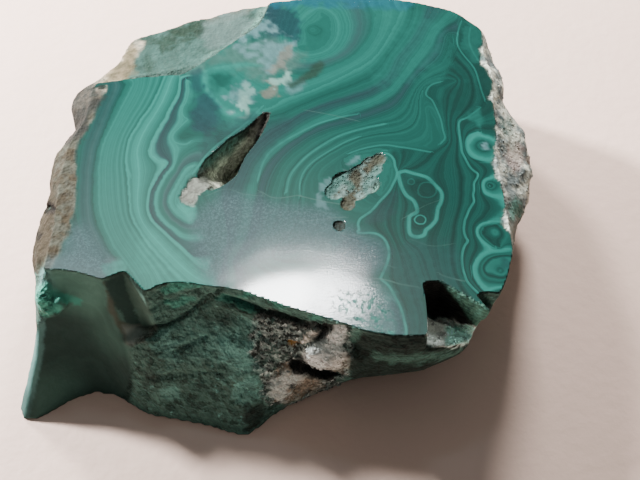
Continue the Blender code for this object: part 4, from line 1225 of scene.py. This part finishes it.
def signed_gap(flat, places, reach):
    """Which places are near an outline of pixels, and their distance to it, positive inside."""
    outline = flowing(pairs(flat + flat[:2]), PIXEL_STEPS)
    close = np.flatnonzero(near_line(outline, places, reach))
    gap, _ = edge_distance(outline, places[close])
    return close, np.where(inside(outline, places[close]), gap, -gap)


def painted(stains, points, pixels, shown, look):
    """The stains' colours, painted light and shade among them, laid one over another, each inside its outline
    as far as the point is shown. Gives the colour that they add and the share of what lies under them that
    they hide."""
    colour = np.zeros((len(points), 3))
    share = np.zeros(len(points))
    wander = roughness(points, *STAIN_EDGE_NOISE)
    for name, strength, soft, ragged, flat in stains:
        close, gap = signed_gap(flat, pixels, soft + 2 * ragged)
        part = strength * smooth(-soft, soft, gap + 2 * ragged * wander[close]) * shown[close]
        tint = np.array(getattr(look, name))
        colour[close] = colour[close] * (1 - part)[:, None] + tint * part[:, None]
        share[close] = share[close] * (1 - part) + part
    return colour, share


def carved(pixels):
    """How far the broken front goes out or in at each pixel, in metres: up over the lumps, down along
    the creases, each fading with the distance to its outline or line."""
    height = np.zeros(len(pixels))
    for tall, soft, flat in LUMPS:
        close, gap = signed_gap(flat, pixels, soft)
        height[close] += tall * MM * smooth(-soft, soft, gap)
    for deep, half_width, flat in CREASES:
        line = flowing(pairs(flat), PIXEL_STEPS)
        close = np.flatnonzero(near_line(line, pixels, half_width))
        gap, _ = edge_distance(line, pixels[close])
        height[close] -= deep * MM * (1.0 - smooth(0.0, half_width, gap))
    return height


def stuff_masks(points, normals):
    """How much of each point is of each kind of stuff, from 0 to 1, and how far it is shown to the
    camera below the polished face."""
    pixels = in_photo(points)
    wander = np.stack([roughness(points, *WANDER_X_NOISE), roughness(points, *WANDER_Y_NOISE)], axis=1)
    moved = pixels + WANDER_PIXELS * wander
    to_camera = CAMERA_PLACE - points
    to_camera /= np.linalg.norm(to_camera, axis=1)[:, None]
    seen = smooth(-0.25, 0.1, np.sum(normals * to_camera, axis=1))
    depth = FACE_HEIGHT - points[:, 2]
    below = smooth(0.05 * MM, 0.25 * MM, depth)
    plan = points[:, :2]
    hidden = (1.0 - seen) * below
    masks = {
        "matrix": within_pixels(MATRIX_OUTLINES, moved, 2.0) * seen * below,
        "tan": within_pixels(TAN_OUTLINES, moved, 3.0) * seen,
        "rind": within_pixels(RIND_OUTLINES, moved, 1.5) * seen,
        "raw": within_pixels((RAW_OUTLINE,), moved, 1.0) * seen,
        "ledge": within_pixels((LEDGE_OUTLINE,), pixels, 1.0) * seen * below,
        "worn": within_pixels((WORN_OUTLINE,), moved, 9.0) * on_top(points),
        # Sides that face away from the camera, which the colour darkens as painted shade
        "far": hidden,
        "sleek": within_pixels((SLEEK_OUTLINE,), pixels, 3.0) * seen * below,
        "chip": within_pixels((CHIP_OUTLINE,), moved, 3.0) * seen * below,
        "vug": (soft_patches((VUG_OUTLINE, SMALL_VUG_OUTLINE), plan, HOLLOW_EDGE) * below
                * (depth < VUG_REACH)),
        "fissure": soft_patches((FISSURE_OUTLINE,), plan, HOLLOW_EDGE) * below * (depth < FISSURE_REACH),
    }
    far_rind = hidden * smooth(-0.05, 0.25, roughness(points, *FAR_RIND_NOISE))
    far_matrix = hidden * smooth(0.1, 0.35, roughness(points, *FAR_MATRIX_NOISE))
    masks["rind"] = np.maximum(masks["rind"], far_rind)
    masks["matrix"] = np.maximum(masks["matrix"], far_matrix)
    return masks, seen * (1.0 - on_top(points))


def roughened(points, normals, masks, shown, look):
    """The points moved along their normals: low waves and broken facets on malachite, larger grains on
    matrix, rind and hollows, creases and lumps on the front, and nothing on the polished face, its rim
    and the underside."""
    height = points[:, 2]
    free = smooth(0.02 * MM, 0.5 * MM, FACE_HEIGHT - height) * smooth(0.0, 0.6 * MM, height)
    grainy = np.clip(masks["matrix"] + 0.3 * masks["vug"], 0, 1)
    rindy = np.clip(masks["rind"] + masks["tan"] + 0.6 * masks["chip"] + masks["fissure"], 0, 1)
    _, gap, shade = facets(points, *BREAK_CELLS)
    broken = 0.6 * roughness(points, *BREAK_NOISE) + 0.5 * (shade - 0.5) * smooth(0.0, 0.25, gap)
    near, _, fine_shade = facets(points, *GRAIN_CELLS)
    grains = 0.9 * (fine_shade - 0.5) + 0.6 * (0.5 - near) + 0.4 * roughness(points, *MATRIX_NOISE)
    rind = 0.7 * roughness(points, *RIND_NOISE) + 0.5 * (0.4 - near)
    plain = np.clip(1.0 - grainy - rindy, 0, 1) * (1.0 - 0.85 * masks["sleek"]) * (1.0 - 0.7 * masks["vug"])
    move = look.broken_height * broken * plain + look.grain_height * grains * grainy
    move = move + look.rind_height * rind * rindy + carved(in_photo(points)) * shown
    moved = points + normals * (move * free)[:, None]
    moved[:, 2] = FACE_HEIGHT - (FACE_HEIGHT - moved[:, 2]) * hollow_depth(points, masks)
    return np.clip(moved, CAD_BOX[0], CAD_BOX[1])


def hollow_depth(points, masks):
    """What the depth below the face is multiplied by: a quarter in the vug, which its grains fill,
    and from a fifth to one along the fissure, whose near end slopes up to the face."""
    end = on_face(FISSURE_END)[0]
    along = np.linalg.norm(points[:, :2] - end, axis=1)
    slope = NEAR_END_DEPTH + (1.0 - NEAR_END_DEPTH) * smooth(SLOPE_START, SLOPE_END, along)
    depth = 1.0 - masks["fissure"] * (1.0 - slope)
    return depth * (1.0 - VUG_FILLING * masks["vug"])


def face_attributes(mesh, points):
    """Keeps the growth levels, zones, lines and patches of the face on the mesh's points."""
    plan = points[:, :2]
    face = Face(GRID_STEP)
    for name, lines in (("left", LEFT_GROWTH), ("middle", MIDDLE_GROWTH), ("right", RIGHT_GROWTH)):
        set_attribute(mesh, name, face.read(face.levels(lines), plan))
    set_attribute(mesh, "left_zone", soft_patches((LEFT_ZONE,), plan, LEFT_ZONE_EDGE))
    set_attribute(mesh, "right_zone", soft_patches((RIGHT_ZONE,), plan, RIGHT_ZONE_EDGE))
    for name, lines in (("first_line", BRIGHT_LINES), ("second_line", SECOND_BRIGHT_LINES),
                        ("scratch", SCRATCHES)):
        across, strength = drawn_lines(lines, plan)
        set_attribute(mesh, name, across)
        set_attribute(mesh, name + "_power", strength)
    set_attribute(mesh, "dull", soft_patches(DULL_PATCHES, plan, DULL_EDGE))


def stain_and_light_attributes(mesh, points, shown, look):
    """Keeps the colour that the stains, painted light and shade among them, add and the share that they hide
    on the mesh's points.
    """
    pixels = in_photo(points)
    face_colour_part, face_share = painted(FACE_STAINS_AND_PAINTED_LIGHT, points, pixels, on_top(points), look)
    side_colour_part, side_share = painted(SIDE_STAINS_AND_PAINTED_LIGHT, points, pixels, shown, look)
    rows = np.column_stack([face_colour_part + side_colour_part, face_share + side_share])
    layer = mesh.attributes.new("stain", "FLOAT_COLOR", "POINT")
    layer.data.foreach_set("color", np.clip(rows, 0, 1).astype(np.float32).ravel())


def on_top(points):
    """1 on the polished face and 0 below it."""
    return (points[:, 2] > FACE_HEIGHT - FACE_TOLERANCE).astype(float)


def shade_polished_flat(mesh, points):
    """Smooth shading all over but for the polished face, whose triangles each keep their true normal."""
    corners = np.empty(len(mesh.loops), np.int32)
    mesh.loops.foreach_get("vertex_index", corners)
    starts = np.empty(len(mesh.polygons), np.int32)
    mesh.polygons.foreach_get("loop_start", starts)
    lowest = np.minimum.reduceat(on_top(points)[corners], starts)
    mesh.polygons.foreach_set("use_smooth", lowest < 0.5)
    mesh.update()


def rind_colour(paint, look):
    """The weathered rind: greenish grey at the left and pale grey at the right, with darker blotches. The
    step from left to right is partly the rind's own colour and partly painted light, as the right rind lies
    in shade.
    """
    right = paint.part(paint.place, "X").above(-0.012, 0.012)
    ground = paint.mix(right, look.rind_left, look.rind_right)
    low = paint.mix(right, look.ochre, look.slate_pale)
    rind = paint.mix(paint.noise(0.0022, 4.0, rough=0.6).above(0.40, 0.60), ground, low)
    return paint.brighten(rind, 0.62 + paint.noise(0.0008, 4.0, rough=0.6).above(0.3, 0.7) * 0.62)


def face_colour(paint, look):
    """The polished face: three sets of growth bands, thin bright lines, patches and round eyes, with painted
    sheen and glints over the dull polish.
    """
    wobble = paint.noise(0.0016, 3.0) - 0.5
    cloud = paint.noise(0.007, 3.0)
    left_part = (paint.attribute("left_zone") + wobble * 0.5).above(0.15, 0.85)
    right_part = paint.attribute("right_zone").above(0.10, 0.90)
    left = paint.attribute("left") + wobble * 0.16
    middle = paint.attribute("middle") + wobble * 0.3
    right = paint.attribute("right") + wobble * 0.3
    left_colour = paint.bands(left, LEFT_RAMP_END, LEFT_BANDS, look)
    middle_colour = paint.bands(middle - MIDDLE_LOWEST, MIDDLE_RAMP_END, MIDDLE_BANDS, look)
    right_colour = paint.bands(right, RIGHT_RAMP_END, RIGHT_BANDS, look)
    colour = paint.mix(left_part, middle_colour, left_colour)
    colour = paint.mix(right_part, colour, right_colour)
    level = left * left_part + middle * (1 - left_part) * (1 - right_part) + right * right_part
    fine = paint.layers(level, 2.4, 3.0).above(0.32, 0.68)
    finest = paint.layers(level, 8.0, 2.0).above(0.3, 0.7)
    blotch = paint.noise(0.0009, 4.0, rough=0.6)
    tone = 0.70 + fine * 0.26 + finest * 0.16 + cloud * 0.10 + blotch * 0.16
    colour = paint.brighten(colour, tone)
    for name in ("first_line", "second_line"):
        line = abs(paint.attribute(name)).above(1.35, 0.45)
        power = paint.attribute(name + "_power") * (0.45 + cloud * 0.3 + fine * 0.35)
        colour = paint.mix(line * power, colour, look.light)
    for x, y, radius, power in DARK_DISCS:
        size = radius * PIXEL_SIZE
        disc = paint.distance_to((x, y)).above(size * 1.15, size * 0.9)
        colour = paint.mix(disc * power, colour, look.night)
    for x, y, radius, power in LIGHT_RINGS:
        size = radius * PIXEL_SIZE
        ring = abs(paint.distance_to((x, y)) + wobble * 0.0006 - size).above(0.00018, 0.00004)
        colour = paint.mix(ring * power, colour, look.light)
    scratch = abs(paint.attribute("scratch")).above(1.3, 0.5)
    colour = paint.mix(scratch * paint.attribute("scratch_power") * blotch, colour, look.frost)
    colour = paint.stained_and_lit(colour, 0.55 + fine * 0.2 + blotch * 0.65)
    dull = paint.attribute("dull")
    # Painted sheen over the dull polish
    colour = paint.mix(dull * 0.6, colour, look.painted_sheen)
    # Painted glints: fine specks of reflection in the dull polish
    painted_glints = paint.noise(0.00030, 4.0, rough=0.75).above(0.42, 0.68) * (0.4 + cloud * 0.8)
    return paint.mix(painted_glints * dull * 0.42, colour, look.cloud)


def calm_share(paint):
    """How much of each place is free of the coarse grain of the break: the smooth wall, rind and chip."""
    calm = paint.attribute("sleek") + paint.attribute("chip") * 0.75 + paint.attribute("rind") * 0.65
    calm = calm + paint.attribute("raw") * 0.8 + paint.attribute("worn") + paint.attribute("vug") * 0.5
    return calm.within()


def side_colour(paint, look):
    """The broken sides: dark streaky malachite, grainy matrix, rind, crusts and hollows, with painted shade
    under the rim, on the far sides and in the fissure, and painted light deeper in it.
    """
    height = paint.part(paint.place, "Z")
    level = paint.attribute("left") + paint.attribute("middle") + height * 300.0
    streaks = paint.layers(level + paint.noise(0.004, 3.0) * 3.0, 1.6, 3.0).above(0.35, 0.7)
    thin_streaks = paint.layers(level + paint.noise(0.006, 3.0) * 2.0, 7.0, 2.0).above(0.35, 0.7)
    blotch = paint.noise(0.005, 4.0).above(0.35, 0.7)
    coarse = paint.part(paint.grains(0.0013, output="Color", place=paint.bent(0.0006)), "X")
    small = paint.part(paint.grains(0.00042, output="Color", place=paint.bent(0.0003)), "Y")
    pits = paint.noise(0.0013, 3.0, rough=0.7).above(0.40, 0.46)
    colour = paint.mix(streaks * 0.7, look.shard, look.facet)
    colour = paint.mix(blotch * 0.3, colour, look.wall)
    dusty = paint.noise(0.0016, 5.0, rough=0.7).above(0.58, 0.66) * small
    colour = paint.mix(dusty * 0.7, colour, look.dust)
    strata = paint.layers(height * 1000 + paint.noise(0.003, 2.0), 2.2, 3.0)
    crisp = (0.42 + coarse * 0.32 + small * 0.30 + thin_streaks * 0.22 + strata.above(0.35, 0.65) * 0.2)
    crisp = crisp * (0.55 + pits * 0.45)
    crisp = crisp + (0.92 + streaks * 0.12 - crisp) * calm_share(paint)
    tint = paint.grains(0.00045, output="Color")
    grain_shade = paint.part(tint, "X") * 0.6 + paint.noise(0.0009, 4.0) * 0.8 - 0.2
    grain = paint.mix(grain_shade.above(0.35, 0.6), look.matrix_dark, look.matrix)
    grain = paint.mix(grain_shade.above(0.66, 0.85), grain, look.matrix_pale)
    grain = paint.mix(paint.noise(0.003, 2.0).above(0.5, 0.65) * 0.5, grain, look.shard)
    colour = paint.mix(paint.attribute("matrix"), colour, grain)
    # Painted shade in a thin band just under the face's rim
    rim = height.above(FACE_HEIGHT - 0.00050, FACE_HEIGHT - 0.00015)
    # Painted shade on the sides that face away from the camera
    colour = paint.brighten(colour, (1 - paint.attribute("far") * 0.72) * (1 - rim * 0.75))
    colour = paint.mix(paint.attribute("rind"), colour, rind_colour(paint, look))
    mottle = paint.noise(0.0030, 4.0, rough=0.6).above(0.35, 0.65)
    chip = paint.mix(mottle * 0.85, look.chip_green, look.frost)
    colour = paint.mix(paint.attribute("chip"), colour, chip)
    earth = paint.mix(paint.noise(0.0011, 4.0).above(0.35, 0.65), look.hollow, look.tan)
    colour = paint.mix(paint.attribute("tan") * 0.9, colour, earth)
    lining = paint.mix(grain_shade.above(0.05, 0.6), look.lining_dark, look.lining)
    colour = paint.mix(paint.attribute("vug"), colour, lining)
    wall = paint.mix(paint.noise(0.0016, 4.0).above(0.40, 0.65), look.hollow, look.hollow_light)
    # Painted shade and light in the fissure: its walls darker near the rim and paler deeper down
    sunk = height.above(FACE_HEIGHT - 0.0005, FACE_HEIGHT - 0.0022)
    wall = paint.brighten(wall, 0.2 + sunk * 2.2)
    colour = paint.mix(paint.attribute("fissure"), colour, wall)
    raw = paint.mix(paint.noise(0.0007, 3.0).above(0.42, 0.58), look.raw, look.raw_pale)
    colour = paint.mix(paint.attribute("raw"), colour, raw)
    flecked = paint.mix(paint.noise(0.0005, 3.0).above(0.42, 0.58), look.light, look.white)
    colour = paint.mix(paint.attribute("worn"), colour, flecked)
    colour = paint.stained_and_lit(colour, 1.0)
    return paint.brighten(colour, crisp)


def stone_material(look):
    """Malachite: polished and banded on its face, broken, matt and grainy on its sides."""
    paint = Paint("malachite")
    polished = paint.part(paint.place, "Z").above(FACE_HEIGHT - 0.00003, FACE_HEIGHT - 0.000004)
    smooth_face = (1 - paint.attribute("rind")) * (1 - paint.attribute("raw"))
    worn = paint.noise(0.0030, 4.0, rough=0.6)
    dull = paint.attribute("dull") * (0.55 + worn * 0.8)
    specks = paint.noise(0.00022, 2.0).above(0.50, 0.66)
    smooth_part = look.polish + worn * 0.01 + dull * (0.018 + specks * 0.03)
    leather = paint.noise(0.00022, 2.0, rough=0.6) * dull * 0.034
    paint.finish(Base_Color=face_colour(paint, look), Roughness=smooth_part, IOR=1.62,
                 Normal=paint.bump(paint.noise(0.00025, 3.0) * 0.006 + leather, 0.7, 0.00025))
    broken = paint.node("ShaderNodeBsdfPrincipled")
    rugged = 1 - calm_share(paint) * 0.9
    chips = paint.grains(0.0012, place=paint.bent(0.0006)) * 0.9 + paint.grains(0.00045) * 0.5
    chips = (chips + paint.noise(0.0009, 4.0, rough=0.55) * 0.9) * rugged
    paint.finish(broken, Base_Color=side_colour(paint, look), Specular_IOR_Level=0.16,
                 Roughness=look.broken_roughness + paint.noise(0.0008, 3.0) * 0.3,
                 Normal=paint.bump(chips, 0.9, 0.00040))
    flecks = paint.noise(0.0006, 4.0, rough=0.7).above(0.50, 0.58) * paint.attribute("worn")
    return paint.blend_shaders(polished * smooth_face * (1 - flecks), broken)


def grain_material():
    """Loose grains in the colours that are kept on their points, with a faint mottle."""
    paint = Paint("malachite_grains")
    tint = paint.attribute("tint", "Color")
    mottle = paint.noise(0.0003, 3.0, rough=0.6)
    return paint.finish(Base_Color=paint.brighten(tint, 0.75 + mottle * 0.5), Roughness=0.5 + mottle * 0.3,
                        Specular_IOR_Level=0.3, Normal=paint.bump(mottle, 0.5, 0.0001))


def floor_material(tint):
    """Pale, faintly mottled matt floor."""
    paint = Paint("pale_floor")
    mottle = paint.noise(0.006, 4.0)
    colour = paint.brighten(tint, 0.96 + mottle * 0.08)
    normal = paint.bump(paint.noise(0.002, 4.0), 0.25, 0.0004)
    return paint.finish(Base_Color=colour, Roughness=0.6, Normal=normal)


def add_piece(piece, material, *replaced):
    """Gives a piece its material and its place on the CAD body."""
    piece.data.materials.clear()
    piece.data.materials.append(material)
    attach(piece, BODY)
    if replaced:
        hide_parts(*replaced)


def soft_light(name, place, target, width, height, power, colour):
    """A rectangular area light that faces its target."""
    data = bpy.data.lights.new(name, "AREA")
    data.shape = "RECTANGLE"
    data.size = width
    data.size_y = height
    data.energy = power
    data.color = colour
    light = bpy.data.objects.new(name, data)
    light.location = place
    direction = Vector(target) - Vector(place)
    light.rotation_euler = direction.to_track_quat("-Z", "Y").to_euler()
    bpy.context.scene.collection.objects.link(light)
    return light


def toward(turn, elevation):
    """The direction at an elevation, turned from straight behind the stone, positive to the right."""
    level = math.cos(elevation)
    return Vector((level * math.sin(turn), level * math.cos(turn), math.sin(elevation)))


def mirrored(pixel, reach):
    """Where the ray through a pixel is after it is mirrored in the polished face and goes on for a reach."""
    spot = np.append(on_face(pixel)[0], FACE_HEIGHT)
    ray = spot - CAMERA_PLACE
    ray /= np.linalg.norm(ray)
    ray[2] = -ray[2]
    return spot + ray * reach


class SLAB_OT_stone(bpy.types.Operator):
    """Makes the whole stone: an even mesh with its relief, its growth bands and its material"""

    bl_idname = "slab.make_stone"
    bl_label = "Stone"

    def execute(self, context):
        look = context.scene.slab_stone
        piece = merged_copy(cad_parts[NODE], "malachite_stone")
        mesh = even_mesh(piece, look.mesh_step)
        points = get_points(mesh)
        normals = get_normals(mesh)
        masks, shown = stuff_masks(points, normals)
        face_attributes(mesh, points)
        stain_and_light_attributes(mesh, points, shown, look)
        for name, values in masks.items():
            set_attribute(mesh, name, values)
        moved = roughened(points, normals, masks, shown, look)
        set_points(mesh, moved)
        shade_polished_flat(mesh, moved)
        add_piece(piece, stone_material(look), NODE)
        return {"FINISHED"}


# The loose grains: name, mask of the stone that they lie on, count, smallest and largest radius in
# millimetres, darkest and palest colour, and the photo's box that they keep to
GRAIN_GROUPS = (
    ("matrix_grains", "matrix", 900, 0.12, 0.36, "matrix_dark", "matrix", (250, 304, 354, 404)),
    ("vug_grains", "vug", 160, 0.08, 0.20, "lining_dark", "lining", (318, 150, 392, 240)),
    ("ledge_grains", "ledge", 150, 0.10, 0.28, "ledge", "chip_white", (420, 310, 480, 350)),
    ("rind_grains", "rind", 260, 0.12, 0.32, "slate_pale", "rind_right", (486, 20, 540, 280)),
)

# Where the grains lie: least share of their mask, and distance below the face and above the floor
GRAIN_SHARE = 0.6
BELOW_FACE = 0.2 * MM
ABOVE_FLOOR = 0.4 * MM

# The dice of the grains: seed of the first group, ranges of a corner's distance, of the stretch along
# each axis and of the tint, and how deep a grain is sunk in, as a share of its radius
GRAIN_SEED = 101
CORNER_RANGE = (0.75, 1.15)
STRETCH_RANGE = (0.65, 1.1)
TINT_RANGE = (0.8, 1.15)
SUNK_SHARE = 0.25


def icosahedron():
    """Its twelve corners, which are the cyclic turns of (0, 1, golden ratio) with all signs, and its
    twenty faces, which are the corner triples that lie closest, turned to face outwards."""
    golden = (1 + math.sqrt(5)) / 2
    corners = np.array([np.roll((0.0, first, second * golden), turn)
                        for turn in range(3) for first in (-1, 1) for second in (-1, 1)])
    gaps = np.linalg.norm(corners[:, None] - corners[None], axis=2)
    edge = 2.0
    near = gaps < 1.01 * edge
    faces = []
    for a, b, c in combinations(range(len(corners)), 3):
        if near[a, b] and near[b, c] and near[a, c]:
            normal = np.cross(corners[b] - corners[a], corners[c] - corners[a])
            faces.append((a, b, c) if np.dot(normal, corners[a]) > 0 else (a, c, b))
    return corners / np.linalg.norm(corners[0]), np.array(faces)


def random_turns(count, dice):
    """Even random rotations as matrices, from quaternions of four bell-curve numbers."""
    w, x, y, z = dice.normal(size=(4, count))
    size = np.sqrt(w * w + x * x + y * y + z * z)
    w, x, y, z = w / size, x / size, y / size, z / size
    rows = [1 - 2 * (y * y + z * z), 2 * (x * y - w * z), 2 * (x * z + w * y),
            2 * (x * y + w * z), 1 - 2 * (x * x + z * z), 2 * (y * z - w * x),
            2 * (x * z - w * y), 2 * (y * z + w * x), 1 - 2 * (x * x + y * y)]
    return np.stack(rows, axis=1).reshape(count, 3, 3)


def scattered_grains(name, spots, normals, low, high, dice):
    """Grains sunk a little into the surface at the spots: an icosahedron each, its corners moved in by up
    to a quarter or out by up to a seventh, squeezed by up to a third or stretched by up to a tenth along
    each axis, turned at random and scaled to its radius.
    Gives the mesh and the number of corners of a grain."""
    corners, faces = icosahedron()
    count = len(spots)
    radius = low + (high - low) * dice.random(count) ** 2
    bumpy = corners[None] * dice.uniform(*CORNER_RANGE, (count, len(corners), 1))
    bumpy = bumpy * dice.uniform(*STRETCH_RANGE, (count, 1, 3))
    turned = np.einsum("gij,gkj->gki", random_turns(count, dice), bumpy)
    centres = spots - normals * (radius * SUNK_SHARE)[:, None]
    points = (centres[:, None] + turned * radius[:, None, None]).reshape(-1, 3)
    points = np.clip(points, CAD_BOX[0], CAD_BOX[1])
    rows = (faces[None] + (np.arange(count) * len(corners))[:, None, None]).reshape(-1, 3)
    mesh = bpy.data.meshes.new(name)
    mesh.from_pydata(points.tolist(), [], rows.tolist())
    return mesh, len(corners)


class SLAB_OT_grains(bpy.types.Operator):
    """Scatters the loose grains over the matrix, the vug, the ledge and the right rind of the stone"""

    bl_idname = "slab.make_grains"
    bl_label = "Grains"

    def execute(self, context):
        look = context.scene.slab_stone
        stone = bpy.data.objects["malachite_stone"].data
        points, normals = get_points(stone), get_normals(stone)
        pixels = in_photo(points)
        material = grain_material()
        stains = np.empty(len(points) * 4, np.float32)
        stone.attributes["stain"].data.foreach_get("color", stains)
        stains = stains.reshape(-1, 4)
        for number, (name, mask, count, low, high, dark, pale, box) in enumerate(GRAIN_GROUPS):
            dice = np.random.default_rng(GRAIN_SEED + number)
            share = np.empty(len(points), np.float32)
            stone.attributes[mask].data.foreach_get("value", share)
            framed = np.all((pixels > box[:2]) & (pixels < box[2:]), axis=1)
            below = points[:, 2] < FACE_HEIGHT - BELOW_FACE
            chosen = np.flatnonzero((share > GRAIN_SHARE) & framed & below & (points[:, 2] > ABOVE_FLOOR))
            picked = dice.choice(chosen, min(count, len(chosen)), replace=False)
            mesh, corners = scattered_grains(name, points[picked], normals[picked], low * MM, high * MM, dice)
            shade = dice.random((len(picked), 1)) ** 1.5
            tint = np.array(getattr(look, dark)) * (1 - shade) + np.array(getattr(look, pale)) * shade
            # Each grain takes the stains under it, painted shade and light among them
            tint = tint * (1 - stains[picked, 3:]) + stains[picked, :3]
            tint = np.clip(tint * dice.uniform(*TINT_RANGE, (len(picked), 1)), 0, 1)
            rows = np.repeat(np.column_stack([tint, np.ones(len(picked))]), corners, axis=0)
            layer = mesh.attributes.new("tint", "FLOAT_COLOR", "POINT")
            layer.data.foreach_set("color", rows.astype(np.float32).ravel())
            piece = bpy.data.objects.new(name, mesh)
            context.scene.collection.objects.link(piece)
            add_piece(piece, material)
        return {"FINISHED"}


class SLAB_OT_stage(bpy.types.Operator):
    """Makes the pale floor, the soft studio lights and the camera at the photograph's angle"""

    bl_idname = "slab.make_stage"
    bl_label = "Stage"

    def execute(self, context):
        look = context.scene.slab_studio
        reach = look.floor_span / 2
        mesh = bpy.data.meshes.new("floor")
        mesh.from_pydata([(-reach, -reach, 0), (reach, -reach, 0), (reach, reach, 0), (-reach, reach, 0)],
                         [], [(0, 1, 2, 3)])
        floor = bpy.data.objects.new("floor", mesh)
        mesh.materials.append(floor_material(look.floor))
        context.scene.collection.objects.link(floor)
        self.air(look)
        self.lamps(look)
        self.window(look)
        self.aim(context.scene)
        return {"FINISHED"}

    def air(self, look):
        """A pale sky, with a brighter part that shows in glossy surfaces alone."""
        world = bpy.data.worlds.new("studio_air")
        world.use_nodes = True
        air = Nodes(world.node_tree)
        sky = air.tree.nodes["Background"]
        sky.inputs["Color"].default_value = SKY_COLOUR
        heading = air.node("ShaderNodeTexCoord", output="Generated")
        bright = toward(GLOW_TURN, GLOW_ELEVATION)
        likeness = air.vectors("DOT_PRODUCT", {0: heading, 1: bright}, "Value")
        glossy = air.node("ShaderNodeLightPath", output="Is Glossy Ray")
        strength = likeness.above(math.cos(GLOW_REACH), 1.0) * look.glow * glossy + look.sky
        air.tree.links.new(strength.socket, sky.inputs["Strength"])
        bpy.context.scene.world = world

    def lamps(self, look):
        """Two lamps from the left and one from behind, of which the first alone shows in glossy surfaces."""
        target = (0.0, 0.0, FACE_HEIGHT / 2)
        for name, turn, elevation, span in LAMPS:
            place = toward(math.radians(turn), math.radians(elevation)) * LAMP_DISTANCE
            lamp = soft_light(name, place, target, span, span, getattr(look, name), LAMP_COLOUR)
            lamp.visible_glossy = name == "left"

    def window(self, look):
        """The window that shows in the polished face. It adds to gloss alone, not to matt surfaces."""
        left, right, top, bottom = WINDOW_BOX
        middle = ((left + right) / 2, (top + bottom) / 2)
        sides = [mirrored((x, middle[1]), WINDOW_DISTANCE) for x in (left, right)]
        ends = [mirrored((middle[0], y), WINDOW_DISTANCE) for y in (top, bottom)]
        width = float(np.linalg.norm(sides[1] - sides[0]))
        tall = float(np.linalg.norm(ends[1] - ends[0]))
        target = np.append(on_face(middle)[0], FACE_HEIGHT)
        place = mirrored(middle, WINDOW_DISTANCE)
        window = soft_light("window", place, target, width, tall, look.window, WINDOW_COLOUR)
        window.data.shape = "ELLIPSE"
        window.visible_diffuse = False

    def aim(self, scene):
        """The photograph's camera."""
        data = bpy.data.cameras.new("photo_camera")
        data.lens = LENS * 1000
        data.sensor_width = SENSOR_WIDTH * 1000
        data.clip_start = CLIP_START
        camera = bpy.data.objects.new("photo_camera", data)
        camera.location = Vector(CAMERA_PLACE)
        camera.rotation_euler = Vector(FORWARD).to_track_quat("-Z", "Y").to_euler()
        scene.collection.objects.link(camera)
        scene.camera = camera


class SLAB_PT_panel(bpy.types.Panel):
    """Lists the slab's settings and the buttons that make its pieces"""

    bl_idname = "SLAB_PT_panel"
    bl_label = "Polished malachite slab"
    bl_space_type = "VIEW_3D"
    bl_region_type = "UI"
    bl_category = "Slab"

    def draw(self, context):
        for title, settings in (("Stone", context.scene.slab_stone), ("Studio", context.scene.slab_studio)):
            box = self.layout.box()
            box.label(text=title)
            for name in settings.bl_rna.properties.keys():
                if name not in ("rna_type", "name"):
                    box.prop(settings, name)
        for operator in OPERATORS:
            self.layout.operator(operator.bl_idname)


OPERATORS = (SLAB_OT_stone, SLAB_OT_grains, SLAB_OT_stage)
CLASSES = (StoneSettings, StudioSettings) + OPERATORS + (SLAB_PT_panel,)


def register():
    """Registers the add-on's classes and its settings."""
    for kind in CLASSES:
        bpy.utils.register_class(kind)
    bpy.types.Scene.slab_stone = bpy.props.PointerProperty(type=StoneSettings)
    bpy.types.Scene.slab_studio = bpy.props.PointerProperty(type=StudioSettings)


def unregister():
    """Takes the add-on's settings and classes away again."""
    del bpy.types.Scene.slab_studio
    del bpy.types.Scene.slab_stone
    for kind in reversed(CLASSES):
        bpy.utils.unregister_class(kind)


def main():
    """Makes the pieces in order."""
    register()
    bpy.ops.slab.make_stone()
    bpy.ops.slab.make_grains()
    bpy.ops.slab.make_stage()


if __name__ == "__main__":
    main()
